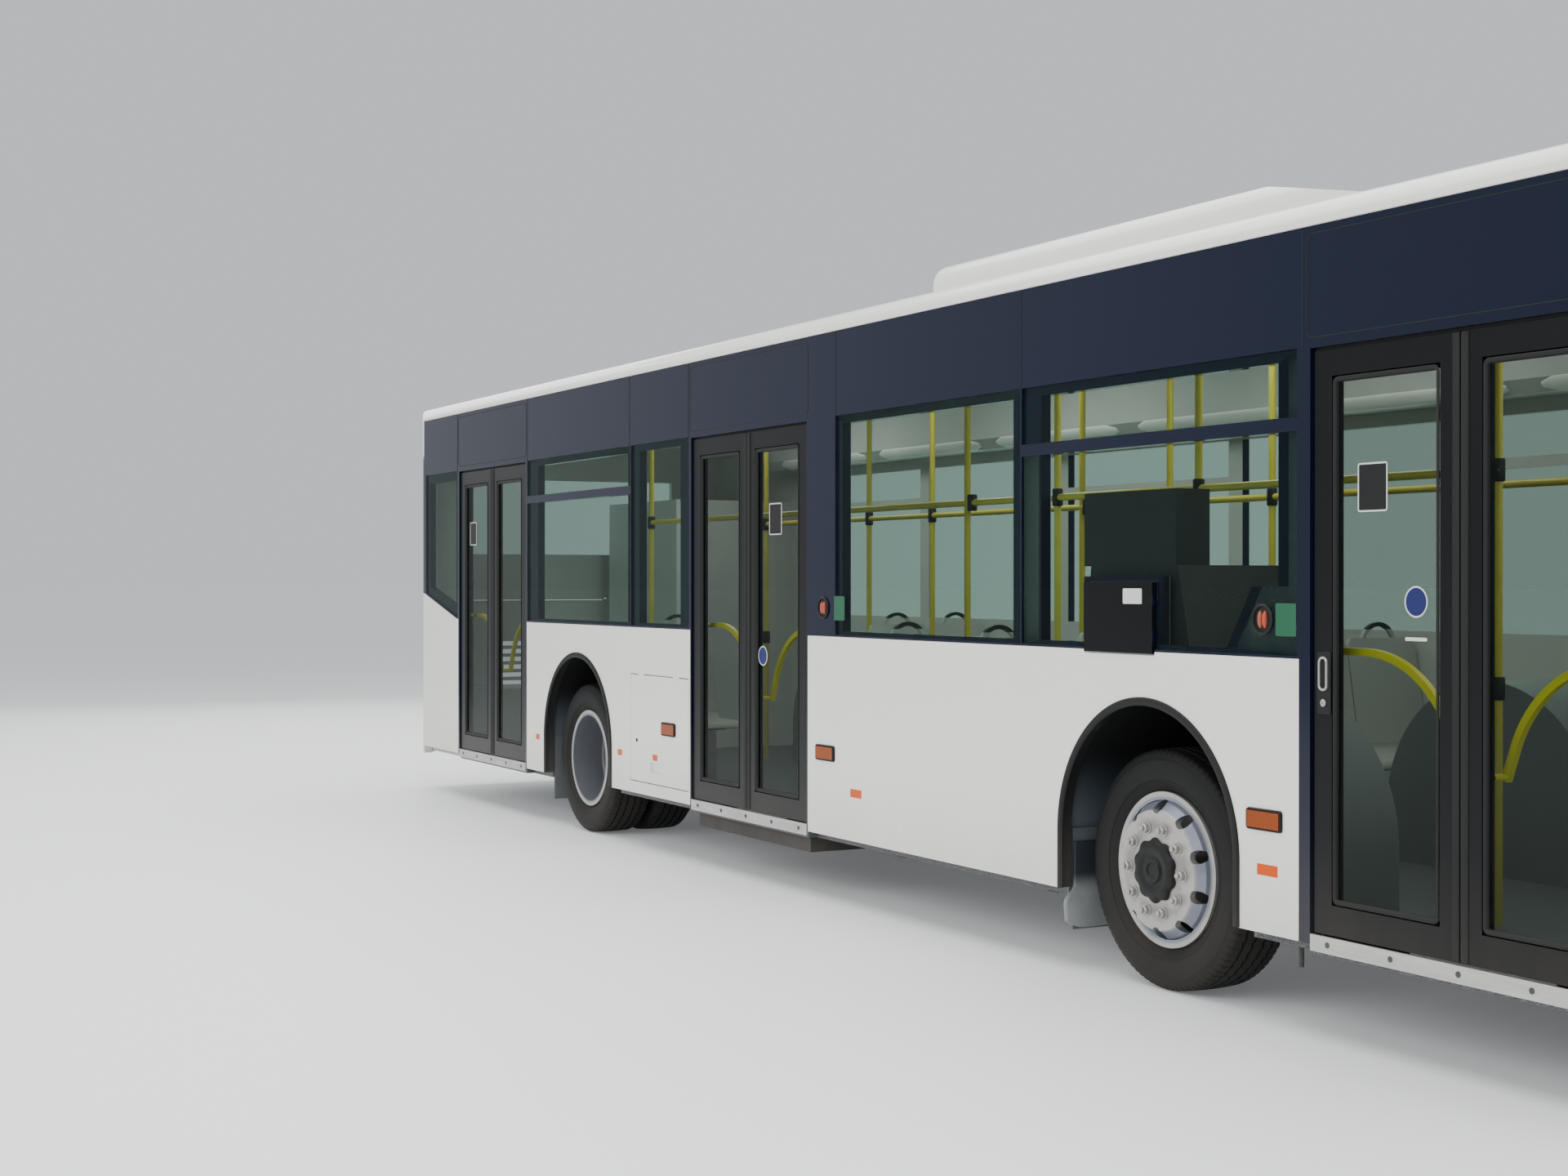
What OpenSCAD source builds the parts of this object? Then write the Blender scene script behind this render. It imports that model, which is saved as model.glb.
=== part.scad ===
// Low-floor apron bus for airport passengers, at full size.
// Millimetres. +X is the front, +Y the left side, +Z up. The origin lies on the ground,
// half way between the bumpers and on the centre line. The doors are on the right side.

/* [Body] */
// Length over the bumpers
body_len = 11950; // [11800:10:12600]
// Width over the side panels
body_w = 2550; // [2500:5:2600]
// Height of the roof on the centre line
roof_top = 2985; // [2970:5:3060]
// Thickness of the side, front and rear walls
wall_t = 60; // [50:1:62]
// Thickness of the roof
roof_t = 45; // [30:1:60]
// Lower edge of the white side panels
skirt_z = 335; // [325:1:345]
// Joint between the white panels and the dark window band
belt_z = 1317; // [1290:1:1325]
// Depth of the white roof's edge under its top
cant_drop = 167; // [155:1:195]
// Radius between side and roof
cove_r = 90; // [70:1:120]
// Radius of the roof's crown across the bus
roof_crown_r = 9700; // [8500:100:12000]
// Radius of the roof's front and rear edges, seen from the side
roof_edge_r = 240; // [120:5:300]
// Top of the floor over the ground
floor_top = 340; // [338:1:342]
// Thickness of the floor
floor_t = 40; // [25:1:45]

/* [Ends] */
// Plan radius of the front
front_r = 5500; // [4800:50:8000]
// Plan radius of the rear
rear_r = 8000; // [6000:50:12000]
// Plan radius of the four corners
corner_r = 200; // [160:5:220]
// Lean of the windscreen
rake = 3.5; // [2:0.1:4]
// Height of the joint between the white rear panel and the dark rear frame
rear_belt_z = 1500; // [1490:1:1540]
// Width of the dark frame beside the windscreen
screen_side = 125; // [105:5:275]
// Lower edge of the windscreen
screen_z0 = 1325; // [1325:1:1360]
// Height of the dark frame over the windscreen
screen_head = 38; // [28:1:300]
// Half the width of the rear window
rear_glass_half_w = 900; // [700:5:1000]
// Lower edge of the rear window
rear_glass_z0 = 1780; // [1700:5:1900]
// Height of the dark frame over the rear window
rear_glass_head = 398; // [218:5:518]

/* [Axles] */
// Distance from the front of the bus to the front axle
front_overhang = 2705; // [2680:5:2800]
// Distance from the rear axle to the rear of the bus
rear_overhang = 3400; // [3350:5:3600]
// Half the length of a wheel arch
arch_r = 558; // [545:1:565]
// Top of the wheel arches
arch_top = 1132; // [1100:1:1150]
// Distance from the side's face to the middle of the front wheels
front_wheel_in = 225; // [215:1:235]
// Distance from the front wheels' middle to the steering pivots
kingpin_in = 150; // [145:1:160]
// Distance from the side's face to the middle of the rear outer wheels
rear_wheel_in = 202; // [195:1:210]
// Distance between the twin wheels
twin_pitch = 312; // [300:1:318]
// Depth of the front wheel houses behind the side's face
front_house_in = 745; // [735:5:775]
// Depth of the rear wheel houses behind the side's face
rear_house_in = 695; // [685:5:735]

/* [Wheels] */
// Radius of the tyres
tyre_r = 470; // [462:1:475]
// Width of the tyres
tyre_w = 276; // [260:1:280]
// Radius of the rim's edge
rim_r = 302; // [295:1:305]
// Radius of the kingpins
kingpin_r = 25; // [20:1:30]
// Radius of the front stub axles
stub_r = 45; // [35:1:50]
// Radius of the rear stub axles
rear_stub_r = 60; // [50:1:65]
// Radial gap of a running fit
running_fit = 0.05; // [0.02:0.01:0.08]

/* [Doors] */
// Width of one door leaf
leaf_w = 672; // [640:1:676]
// Thickness of a door leaf
leaf_t = 40; // [34:1:42]
// Depth of the closed leaves behind the side panels
leaf_recess = 10; // [8:1:14]
// Lower edge of the leaves
leaf_z0 = 376; // [375:1:384]
// Distance from the roof's lower edge to the upper edge of the leaves
leaf_head = 438; // [436:1:458]
// Gap round a closed leaf
leaf_gap = 12; // [12:1:14]
// Distance of the turning posts behind the side's face
post_in = 95; // [93:1:97]
// Radius of a turning post
post_r = 20; // [16:1:20]
// Distance from a post's axis to the near edge of its leaf
leaf_edge = 38; // [38:1:42]
// Thickness of the posts' arms
arm_t = 18; // [12:1:18]
// Width of the posts' arms
arm_w = 36; // [30:1:40]
// Radius of the pins that carry a leaf
pin_r = 8; // [6:0.5:9]
// Width of a leaf's frame beside the glass
stile_w = 100; // [80:1:120]
// Lower edge of a leaf's glass
leaf_glass_z0 = 493; // [470:1:560]
// Height of a leaf's frame over the glass
leaf_glass_head = 105; // [80:1:180]

/* [Windows] */
// Thickness of the bonded panes
pane_t = 12; // [8:1:16]
// Width of the glass that lies on the frame
pane_lap = 25; // [15:1:30]
// Gap between neighbouring panes
pane_gap = 10; // [6:1:14]
// Lower edge of the clear glass
clear_z0 = 1345; // [1340:1:1380]
// Distance from the roof's lower edge to the upper edge of the panes
pane_head = 420; // [413:1:428]
// Distance from the panes' upper edge to the clear glass
clear_head = 40; // [33:1:98]
// Distance from the panes' upper edge to the bar under the top vents
vent_drop = 262; // [198:1:348]
// Height of the bar under a top vent
vent_bar = 50; // [30:1:60]

/* [Roof unit] */
// Distance from the front of the bus to the air-conditioning unit
unit_front = 1798; // [1575:10:2075]
// Length of the air-conditioning unit
unit_len = 3020; // [2777:10:3277]
// Half the width of the air-conditioning unit
unit_half_w = 925; // [800:5:1000]
// Height of the air-conditioning unit over the roof
unit_rise = 165; // [115:5:265]

/* [Inside] */
// Distance from the roof's lower edge to the underside of the ceiling ducts
duct_drop = 393; // [378:1:398]
// Radius of the grab rails
rail_r = 17; // [14:0.5:18]
// Distance from the centre line to the ceiling rails
rail_y = 440; // [420:1:445]
// Distance from the ceiling ducts down to the ceiling rails
rail_drop = 435; // [325:5:475]
// Width of a passenger seat
seat_w = 430; // [400:5:450]
// Height of a seat's cushion over its podium
seat_h = 430; // [400:5:460]

/* [Hidden] */

$fn = 48;
big_fn = 720;
eps = 0.01;
seat_fit = 0.3;
move_gap = 6;

RIGHT = -1;
LEFT = 1;

side_y = body_w / 2;
inner_y = side_y - wall_t;
front_x = body_len / 2;
rear_x = -body_len / 2;
front_axle_x = front_x - front_overhang;
rear_axle_x = rear_x + rear_overhang;
front_wheel_y = side_y - front_wheel_in;
kingpin_y = front_wheel_y - kingpin_in;
rear_outer_y = side_y - rear_wheel_in;
front_house_y = side_y - front_house_in;
rear_house_y = side_y - rear_house_in;
post_y = side_y - post_in;
cant_z = roof_top - cant_drop;
rear_glass_z1 = cant_z - rear_glass_head;
leaf_z1 = cant_z - leaf_head;
leaf_glass_z1 = leaf_z1 - leaf_glass_head;
pane_z1 = cant_z - pane_head;
clear_z1 = pane_z1 - clear_head;
vent_z = pane_z1 - vent_drop;
duct_z = cant_z - duct_drop;
rail_z = duct_z - rail_drop;
unit_x1 = front_x - unit_front;
unit_x0 = unit_x1 - unit_len;
screen_z1 = cant_z - screen_head;
screen_half_w = side_y - screen_side;
unit_top = roof_top + unit_rise;
wheel_z = tyre_r;
arch_z = arch_top - arch_r;
floor_low = floor_top - floor_t;

white = [0.90, 0.90, 0.88];
dark = [0.05, 0.06, 0.09];
frame_grey = [0.13, 0.13, 0.14];
glass_tint = [0.25, 0.32, 0.30, 0.4];
steel = [0.45, 0.46, 0.47];
alloy = [0.75, 0.76, 0.77];
tyre_black = [0.06, 0.06, 0.06];
liner_grey = [0.35, 0.38, 0.42];
panel_grey = [0.68, 0.69, 0.68];
rail_yellow = [0.85, 0.83, 0.15];
amber = [0.85, 0.35, 0.08];
lamp_red = [0.65, 0.05, 0.04];
lamp_clear = [0.85, 0.88, 0.90];

// Distance from a post's axis to the pin at the middle of its leaf.
arm_len = leaf_edge + leaf_w / 2;
// Half the gap between the closing edges of two leaves.
leaf_meet = 3;
// The leaf's faces, measured outwards from the posts' axes.
leaf_out = side_y - leaf_recess - post_y;
leaf_in = leaf_out - leaf_t;

// Doors: middle of the opening, width of the dark jamb at its rear and at its front.
door_x = 0;
door_jamb_rear = 1;
door_jamb_front = 2;
DOORS = [[front_x - 1080, 57, 57], [rear_axle_x + 2400, 13, 13], [rear_axle_x - 1613, 25, 25]];
FRONT_DOOR = 0;
MIDDLE_DOOR = 1;
REAR_DOOR = 2;

door_half = leaf_w + leaf_gap + leaf_meet;
function opening_x0(d) = DOORS[d][door_x] - door_half;
function opening_x1(d) = DOORS[d][door_x] + door_half;
function jamb_x0(d) = opening_x0(d) - DOORS[d][door_jamb_rear];
function jamb_x1(d) = opening_x1(d) + DOORS[d][door_jamb_front];
door_head_z = leaf_z1 + leaf_gap;

// Where the flat side panels end and the corners begin.
function crown_corner(apex, r, cr) =
  apex - r + sqrt(pow(r - cr, 2) - pow(side_y - cr, 2));
front_side_x = crown_corner(front_x, front_r, corner_r);
rear_side_x = -crown_corner(front_x, rear_r, corner_r);
band_front_x = jamb_x1(FRONT_DOOR);

// Windows: rear and front edge of the pane, rear and front edge of the clear glass, top vent.
win_x0 = 0;
win_x1 = 1;
clear_x0 = 2;
clear_x1 = 3;
win_vent = 4;
// Joints between panes: first and second window, second and its dark panel, third and fourth.
split_ab = front_axle_x - 841;
split_b = jamb_x1(MIDDLE_DOOR) + 280;
split_cd = jamb_x0(MIDDLE_DOOR) - 844;
RIGHT_WINDOWS = [
  [split_ab, jamb_x0(FRONT_DOOR) - 5, split_ab + 133, jamb_x0(FRONT_DOOR) - 120, true],
  [split_b, split_ab, split_b + 57, split_ab - 74, false],
  [split_cd, jamb_x0(MIDDLE_DOOR) - 10, split_cd + 110, jamb_x0(MIDDLE_DOOR) - 154, false],
  [jamb_x1(REAR_DOOR) + 6, split_cd, jamb_x1(REAR_DOOR) + 184, split_cd - 62, true],
  [rear_x + 315, jamb_x0(REAR_DOOR) - 11, rear_x + 435, jamb_x0(REAR_DOOR) - 110, false]
];
split_cab = front_x - 1555;
LEFT_SPLITS = [rear_axle_x - 1492, rear_axle_x + 132, split_b - 1624, split_b];
LEFT_WINDOWS = [
  [split_cab, split_cab + 1170, split_cab + 60, split_cab + 1090, false],
  [split_ab, split_cab, split_ab + 133, split_cab - 120, true],
  [split_b, split_ab, split_b + 57, split_ab - 74, false],
  [LEFT_SPLITS[2], split_b, LEFT_SPLITS[2] + 57, split_b - 57, true],
  [LEFT_SPLITS[1], LEFT_SPLITS[2], LEFT_SPLITS[1] + 57, LEFT_SPLITS[2] - 57, false],
  [LEFT_SPLITS[0], LEFT_SPLITS[1], LEFT_SPLITS[0] + 57, LEFT_SPLITS[1] - 57, true]
];

// A crowned outline with round corners: half width, apex, crown radius, corner radius, low edge.
// Each corner stands out by corner_lift, so that its circle crosses both neighbours at an angle.
corner_lift = 0.3;
module crown_2d(half_w, apex, crown, corner, low) {
  centre = apex - crown;
  c = half_w - corner + corner_lift;
  corner_y = centre + sqrt(pow(crown - corner + corner_lift, 2) - c * c);
  lean = asin(c / (crown - corner));
  translate([-half_w, low]) square([2 * half_w, corner_y - low]);
  for (s = [-1, 1]) translate([s * c, corner_y]) circle(corner, $fn = 96);
  intersection() {
    translate([0, centre]) circle(crown, $fn = big_fn);
    translate([-crown * sin(lean), low]) square([2 * crown * sin(lean), apex + 1 - low]);
  }
}

module front_plan(inset) {
  rotate(-90)
    crown_2d(side_y - inset, front_x - inset, front_r - inset, corner_r - inset, -front_x);
}

module rear_plan(inset) {
  rotate(90)
    crown_2d(side_y - inset, front_x - inset, rear_r - inset, corner_r - inset, -front_x);
}

// The front's plan, leaning back from the belt line upwards.
module raked_front(inset) {
  drop = body_len * sin(rake);
  translate([front_x, 0, belt_z]) rotate([0, -rake, 0]) translate([-front_x, 0, -drop])
    linear_extrude(roof_top + 2 * drop) front_plan(inset);
}

// A box given by its lowest and highest corners.
module span(low, high) {
  translate(low) cube([for (i = [0:2]) high[i] - low[i]]);
}

// A drawing in X and Z made into a plate between two distances from the centre line.
module on_side(side, y0, y1) {
  translate([0, side > 0 ? y1 : -y0, 0]) rotate([90, 0, 0]) linear_extrude(y1 - y0) children();
}

// The bar between a window's main pane and its top vent.
module vent_bar_2d(w, grow = 0) {
  translate([w[win_x0], vent_z - vent_bar / 2 - grow])
    square([w[win_x1] - w[win_x0], vent_bar + 2 * grow]);
}

module pane_2d(w, inset) {
  x0 = w[win_x0] + pane_gap / 2 + inset;
  z0 = belt_z + pane_gap + inset;
  difference() {
    translate([x0, z0]) square([w[win_x1] - pane_gap / 2 - inset - x0, pane_z1 - inset - z0]);
    if (w[win_vent]) vent_bar_2d(w, inset);
  }
}

module window_cut(w, side) {
  on_side(side, inner_y - 1, side_y + 1) difference() {
    translate([w[clear_x0], clear_z0])
      square([w[clear_x1] - w[clear_x0], clear_z1 - clear_z0]);
    if (w[win_vent]) vent_bar_2d(w);
    if (side == RIGHT) first_window_corner_2d();
  }
  on_side(side, side_y - pane_t, side_y + 1) pane_2d(w, 0);
}

// The dark lower front corner of the first window, which carries the door's emergency tap.
corner_x0 = jamb_x0(FRONT_DOOR) - 419;
corner_x1 = corner_x0 + 159;
corner_z = 1569;
module first_window_corner_2d() {
  x1 = RIGHT_WINDOWS[0][win_x1];
  polygon([[corner_x0, belt_z], [corner_x1, corner_z], [x1, corner_z], [x1, belt_z]]);
}

module arch_2d(x, grow = 0) {
  translate([x, arch_z]) circle(arch_r + grow, $fn = 128);
  translate([x - arch_r - grow, -10]) square([2 * (arch_r + grow), arch_z + 10]);
}

module arches_2d(grow = 0) {
  for (x = [front_axle_x, rear_axle_x]) arch_2d(x, grow);
}

rear_slant_x = jamb_x0(REAR_DOOR) - 37;

module rear_quarter_2d() {
  polygon([
    [rear_side_x, skirt_z], [jamb_x0(REAR_DOOR), skirt_z], [jamb_x0(REAR_DOOR), belt_z],
    [rear_slant_x, belt_z], [rear_side_x, rear_belt_z]
  ]);
}

module side_wall_right() {
  color(white) {
    wall_right_plate();
    service_hinge();
  }
}

module wall_right_plate() {
  difference() {
    on_side(RIGHT, inner_y, side_y) difference() {
      union() {
        for (d = [[jamb_x1(MIDDLE_DOOR), jamb_x0(FRONT_DOOR)],
                  [jamb_x1(REAR_DOOR), jamb_x0(MIDDLE_DOOR)]])
          translate([d[0], skirt_z]) square([d[1] - d[0], belt_z - skirt_z]);
        rear_quarter_2d();
      }
      arches_2d();
    }
    service_flap_pocket();
    marker_pockets(RIGHT, MARKERS);
    fuel_recess();
  }
}

// The engine bay's air grille in the left panel.
grille_x0 = rear_x + 415;
grille_x1 = rear_axle_x - 2125;
grille_z0 = 560;
grille_z1 = 1180;
louvre_pitch = 62;
louvre_w = 34;
LEFT_JOINTS = [
  rear_axle_x - 1875, rear_axle_x + 975, rear_axle_x + 2325, split_b + 295, split_ab + 21, split_cab - 120
];

module side_wall_left() {
  color(white) difference() {
    on_side(LEFT, inner_y, side_y) difference() {
      union() {
        translate([rear_slant_x, skirt_z]) square([band_front_x - rear_slant_x, belt_z - skirt_z]);
        polygon([
          [rear_side_x, skirt_z], [rear_slant_x, skirt_z], [rear_slant_x, belt_z],
          [rear_side_x, rear_belt_z]
        ]);
      }
      arches_2d();
      for (z = [grille_z0:louvre_pitch:grille_z1])
        translate([grille_x0, z]) square([grille_x1 - grille_x0, louvre_w]);
    }
    on_side(LEFT, side_y - joint_depth / 2, side_y + 1)
      for (x = LEFT_JOINTS) translate([x, skirt_z - 1]) square([joint_w / 2, belt_z - skirt_z + 2]);
    marker_pockets(LEFT, concat(MARKERS, FLAP_MARKERS));
  }
}

module jamb_2d(x0, x1) {
  translate([x0, skirt_z]) square([x1 - x0, cant_z - skirt_z]);
}

module window_band_right() {
  color(dark) {
    band_right_plate();
    fuel_hinge();
  }
}

// The cover over each door is a panel of its own, parted from the band beside it.
module header_joints() {
  on_side(RIGHT, inner_y - 1, side_y + 1)
    for (d = [0:2])
      for (x = [opening_x0(d), opening_x1(d) - seat_fit])
        translate([x, door_head_z - 1]) square([seat_fit, cant_z - door_head_z + 2]);
}

module band_right_plate() {
  intersection() {
    difference() {
      on_side(RIGHT, inner_y, side_y) {
        difference() {
          translate([rear_side_x, belt_z]) square([band_front_x - rear_side_x, cant_z - belt_z]);
          polygon([
            [rear_side_x - 1, belt_z - 1], [rear_slant_x, belt_z - 1], [rear_slant_x, belt_z],
            [rear_side_x, rear_belt_z], [rear_side_x - 1, rear_belt_z]
          ]);
          for (d = [0:2])
            translate([opening_x0(d), belt_z - 1])
              square([opening_x1(d) - opening_x0(d), door_head_z - belt_z + 1]);
        }
        for (d = [0:2]) {
          jamb_2d(jamb_x0(d), opening_x0(d));
          jamb_2d(opening_x1(d), jamb_x1(d));
        }
      }
      difference() {
        for (w = [for (i = [0:3]) RIGHT_WINDOWS[i]]) window_cut(w, RIGHT);
        on_side(RIGHT, inner_y - 2, side_y - pane_t) fuel_2d(fuel_frame);
      }
      rear_quarter_cut(RIGHT);
      fuel_recess();
      header_joints();
    }
    raked_front(0);
  }
}

// The rear quarter pane follows the slanted joint.
module rear_quarter_pane_2d(inset) {
  w = RIGHT_WINDOWS[4];
  x0 = w[win_x0] + inset;
  x1 = w[win_x1] - inset;
  z0 = belt_z + pane_gap + inset;
  z1 = rear_belt_z + pane_gap + inset;
  difference() {
    translate([x0, z0]) square([x1 - x0, pane_z1 - inset - z0]);
    polygon([[rear_side_x, z0 - 10], [rear_slant_x, z0 - 10], [rear_slant_x, z0], [rear_side_x, z1]]);
  }
}

module rear_quarter_cut(side) {
  on_side(side, inner_y - 1, side_y + 1) rear_quarter_pane_2d(pane_lap + 40);
  on_side(side, side_y - pane_t, side_y + 1) rear_quarter_pane_2d(0);
}

module window_band_left() {
  color(dark) intersection() {
    difference() {
      on_side(LEFT, inner_y, side_y) difference() {
        translate([rear_side_x, belt_z]) square([band_front_x - rear_side_x, cant_z - belt_z]);
        polygon([
          [rear_side_x - 1, belt_z - 1], [rear_slant_x, belt_z - 1], [rear_slant_x, belt_z],
          [rear_side_x, rear_belt_z], [rear_side_x - 1, rear_belt_z]
        ]);
      }
      for (w = LEFT_WINDOWS) window_cut(w, LEFT);
    }
    raked_front(0);
  }
}

module pane(w, side) {
  on_side(side, side_y - pane_t, side_y - 0.5) difference() {
    pane_2d(w, seat_fit);
    if (side == RIGHT) fuel_2d(move_gap);
  }
}

module saloon_glass() {
  color(glass_tint) {
    for (i = [0:3]) pane(RIGHT_WINDOWS[i], RIGHT);
    on_side(RIGHT, side_y - pane_t, side_y - 0.5) rear_quarter_pane_2d(seat_fit);
    for (w = LEFT_WINDOWS) pane(w, LEFT);
    rear_ring(0.5, pane_t - seat_fit, rear_glass_z0, rear_glass_z1, rear_glass_half_w - seat_fit);
  }
}

// A slice of the rear wall between two insets, two heights and a half width.
module rear_ring(i0, i1, z0, z1, half_w) {
  translate([0, 0, z0]) linear_extrude(z1 - z0) intersection() {
    difference() {
      rear_plan(i0);
      rear_plan(i1);
    }
    translate([rear_x - 10, -half_w]) square([rear_side_x - seat_fit - rear_x + 10, 2 * half_w]);
  }
}

module front_ring(i0, i1, z0, z1, half_w, x0) {
  translate([0, 0, z0]) linear_extrude(z1 - z0) intersection() {
    difference() {
      front_plan(i0);
      front_plan(i1);
    }
    translate([x0, -half_w]) square([front_x - x0 + 10, 2 * half_w]);
  }
}

module raked_ring(i0, i1, z0, z1, half_w, x0) {
  intersection() {
    difference() {
      raked_front(i0);
      raked_front(i1);
    }
    span([x0, -half_w, z0], [front_x + 10, half_w, z1]);
  }
}

// The lower front: bumper, lamp openings and towing socket.
headlamp_y0 = side_y - 515;
headlamp_y1 = side_y - 155;
headlamp_z0 = 600;
headlamp_z1 = 790;
bumper_z = 540;
joint_w = 8;
joint_depth = 10;
front_grille_y = 620;
FRONT_SLOTS = [612, 654, 696, 738];
front_slot_h = 24;
tow_r = 30;
tow_boss_r = 48;
tow_depth = 70;
tow_face = 12;
tow_y = 450;
tow_z = 430;

// A towing socket's boss or its blind bore, at either end of the bus.
module tow_socket(end, r, reach, depth) {
  translate([end * (front_x - tow_face + reach), tow_y, tow_z]) rotate([0, -90 * end, 0])
    cylinder(depth + reach, r, r);
}
panel_low_z = 280;

module front_panel() {
  color(white) difference() {
    union() {
      front_ring(0, wall_t, panel_low_z, belt_z, side_y + 1, band_front_x + seat_fit);
      tow_socket(1, tow_boss_r, 0, tow_depth + 14);
    }
    for (s = [-1, 1])
      span([front_side_x - 200, s > 0 ? headlamp_y0 : -headlamp_y1, headlamp_z0],
           [front_x + 1, s > 0 ? headlamp_y1 : -headlamp_y0, headlamp_z1]);
    for (z = FRONT_SLOTS)
      span([front_side_x, -front_grille_y, z], [front_x + 1, front_grille_y, z + front_slot_h]);
    for (z = [bumper_z, screen_z0 - 160])
      front_ring(-5, joint_depth, z, z + joint_w, side_y + 1, front_side_x - 10);
    tow_socket(1, tow_r, 1, tow_depth);
  }
}

lid_half_w = side_y - 325;
lid_z0 = 560;
lid_z1 = 1440;
lid_t = 30;
tail_y = side_y - 170;
tail_r = 52;
TAIL_ROWS = [760, 885, 1010, 1135];
tail_x = rear_x + 62;
tail_depth = 60;
tail_bevel = 8;

lid_recess = 8;
lid_axis_x = rear_x + lid_recess - 1;
lid_axis_z = lid_z1 + move_gap;
ear_r = 5.5;
ear_w = 40;
ear_y = 340;

// One eye of the lid's hinges, from y0 to y1, with the plate that ties it in.
module lid_ears(y0, y1, low, high, reach) {
  for (s = [-1, 1]) translate([lid_axis_x, s * ear_y, lid_axis_z]) {
    translate([0, y0, 0]) rotate([-90, 0, 0]) cylinder(y1 - y0, ear_r, ear_r);
    span([0, y0, low], [reach, y1, high]);
  }
}

module rear_panel() {
  color(white) difference() {
    union() {
      difference() {
        rear_ring(0, wall_t, panel_low_z, rear_belt_z, side_y + 1);
        span([rear_x - 1, -lid_half_w - move_gap, lid_z0 - move_gap],
             [rear_side_x, lid_half_w + move_gap, lid_axis_z]);
        for (s = [-1, 1])
          span([rear_x - 1, s * ear_y - ear_w - move_gap, lid_z1],
               [rear_side_x, s * ear_y + ear_w + move_gap, lid_axis_z + 2 * move_gap]);
      }
      tow_socket(-1, tow_boss_r, 0, tow_depth + 14);
      lid_ears(seat_fit, ear_w, 0, 2 * move_gap + 1, 16);
    }
    for (s = [-1, 1])
      for (z = TAIL_ROWS)
        translate([rear_x - 1, s * tail_y, z]) rotate([0, 90, 0])
          cylinder(400, tail_r + seat_fit, tail_r + seat_fit);
    rear_ring(-5, joint_depth, lid_z0 - 60, lid_z0 - 60 + joint_w, side_y + 1);
    tow_socket(-1, tow_r, 1, tow_depth);
  }
}

module engine_lid() {
  color(white) {
    difference() {
      rear_ring(lid_recess, lid_recess + lid_t, lid_z0, lid_z1, lid_half_w);
      for (z = [lid_z0 + 90:louvre_pitch:lid_z1 - 320])
        span([rear_x - 1, -620, z], [rear_side_x, 620, z + louvre_w]);
    }
    lid_ears(-ear_w, 0, -10, 0, 20);
  }
}

module end_frames() {
  color(dark) {
    difference() {
      raked_ring(0, wall_t, belt_z, cant_z, side_y + 1, band_front_x + seat_fit);
      span([front_side_x - 300, -screen_half_w + pane_lap, screen_z0 + pane_lap],
           [front_x + 10, screen_half_w - pane_lap, screen_z1 - pane_lap]);
      raked_ring(-5, pane_t, screen_z0, screen_z1, screen_half_w, front_side_x - 200);
    }
    difference() {
      rear_ring(0, wall_t, rear_belt_z, cant_z, side_y + 1);
      span([rear_x - 10, -rear_glass_half_w + pane_lap, rear_glass_z0 + pane_lap],
           [rear_side_x, rear_glass_half_w - pane_lap, rear_glass_z1 - pane_lap]);
      rear_ring(-5, pane_t, rear_glass_z0 - seat_fit, rear_glass_z1 + seat_fit, rear_glass_half_w);
    }
  }
}

module windscreen() {
  color(glass_tint)
    raked_ring(0.5, pane_t - seat_fit, screen_z0 + seat_fit, screen_z1 - seat_fit,
               screen_half_w - seat_fit, front_side_x - 200);
}

// The roof is the common part of its cross-section, its side profile and its plan.
// Its sides lie a trifle inside the walls' faces.
roof_tuck = 0.4;
module roof_section(inset) {
  rotate([90, 0, 90]) linear_extrude(2 * front_x + 400, center = true)
    crown_2d(side_y - roof_tuck - inset, roof_top - inset, roof_crown_r - inset, cove_r - inset, 0);
}

function rake_x(z, inset) = front_x - inset / cos(rake) - (z - belt_z) * tan(rake);

module roof_profile(inset) {
  r = roof_edge_r - inset;
  zc = roof_top - roof_edge_r;
  xf = rake_x(zc, inset) - r / cos(rake);
  xr = rear_x + roof_edge_r;
  translate([0, side_y + 100, 0]) rotate([90, 0, 0]) linear_extrude(2 * side_y + 200) {
    polygon([
      [rear_x + inset, belt_z], [rake_x(belt_z, inset), belt_z],
      [xf + r * cos(rake), zc + r * sin(rake)], [xf, zc], [xf, zc + r], [xr, zc + r],
      [xr, zc], [rear_x + inset, zc]
    ]);
    translate([xf, zc]) circle(r, $fn = 128);
    translate([xr, zc]) circle(r, $fn = 128);
  }
}

module roof_body(inset) {
  intersection() {
    roof_section(inset);
    roof_profile(inset);
    raked_front(inset);
    translate([0, 0, belt_z]) linear_extrude(roof_top) rear_plan(inset);
  }
}

HATCHES = [rear_axle_x - 1575, rear_axle_x + 825];
hatch_half = 400;
hatch_rim = 30;
hatch_lid = 55;

// A hatch's raised rim or its lid, following the crown of the roof.
module hatch(x, half, rise) {
  intersection() {
    roof_section(-rise);
    span([x - half, -half, roof_top - 60], [x + half, half, roof_top + rise]);
  }
}

module roof() {
  color(white) difference() {
    union() {
      intersection() {
        roof_body(0);
        span([rear_x - 10, -side_y - 1, cant_z], [front_x + 10, side_y + 1, roof_top + 10]);
      }
      for (x = HATCHES) {
        hatch(x, hatch_half, hatch_rim);
        hatch(x, hatch_half - 35, hatch_lid);
      }
    }
    roof_body(roof_t);
  }
}

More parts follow.
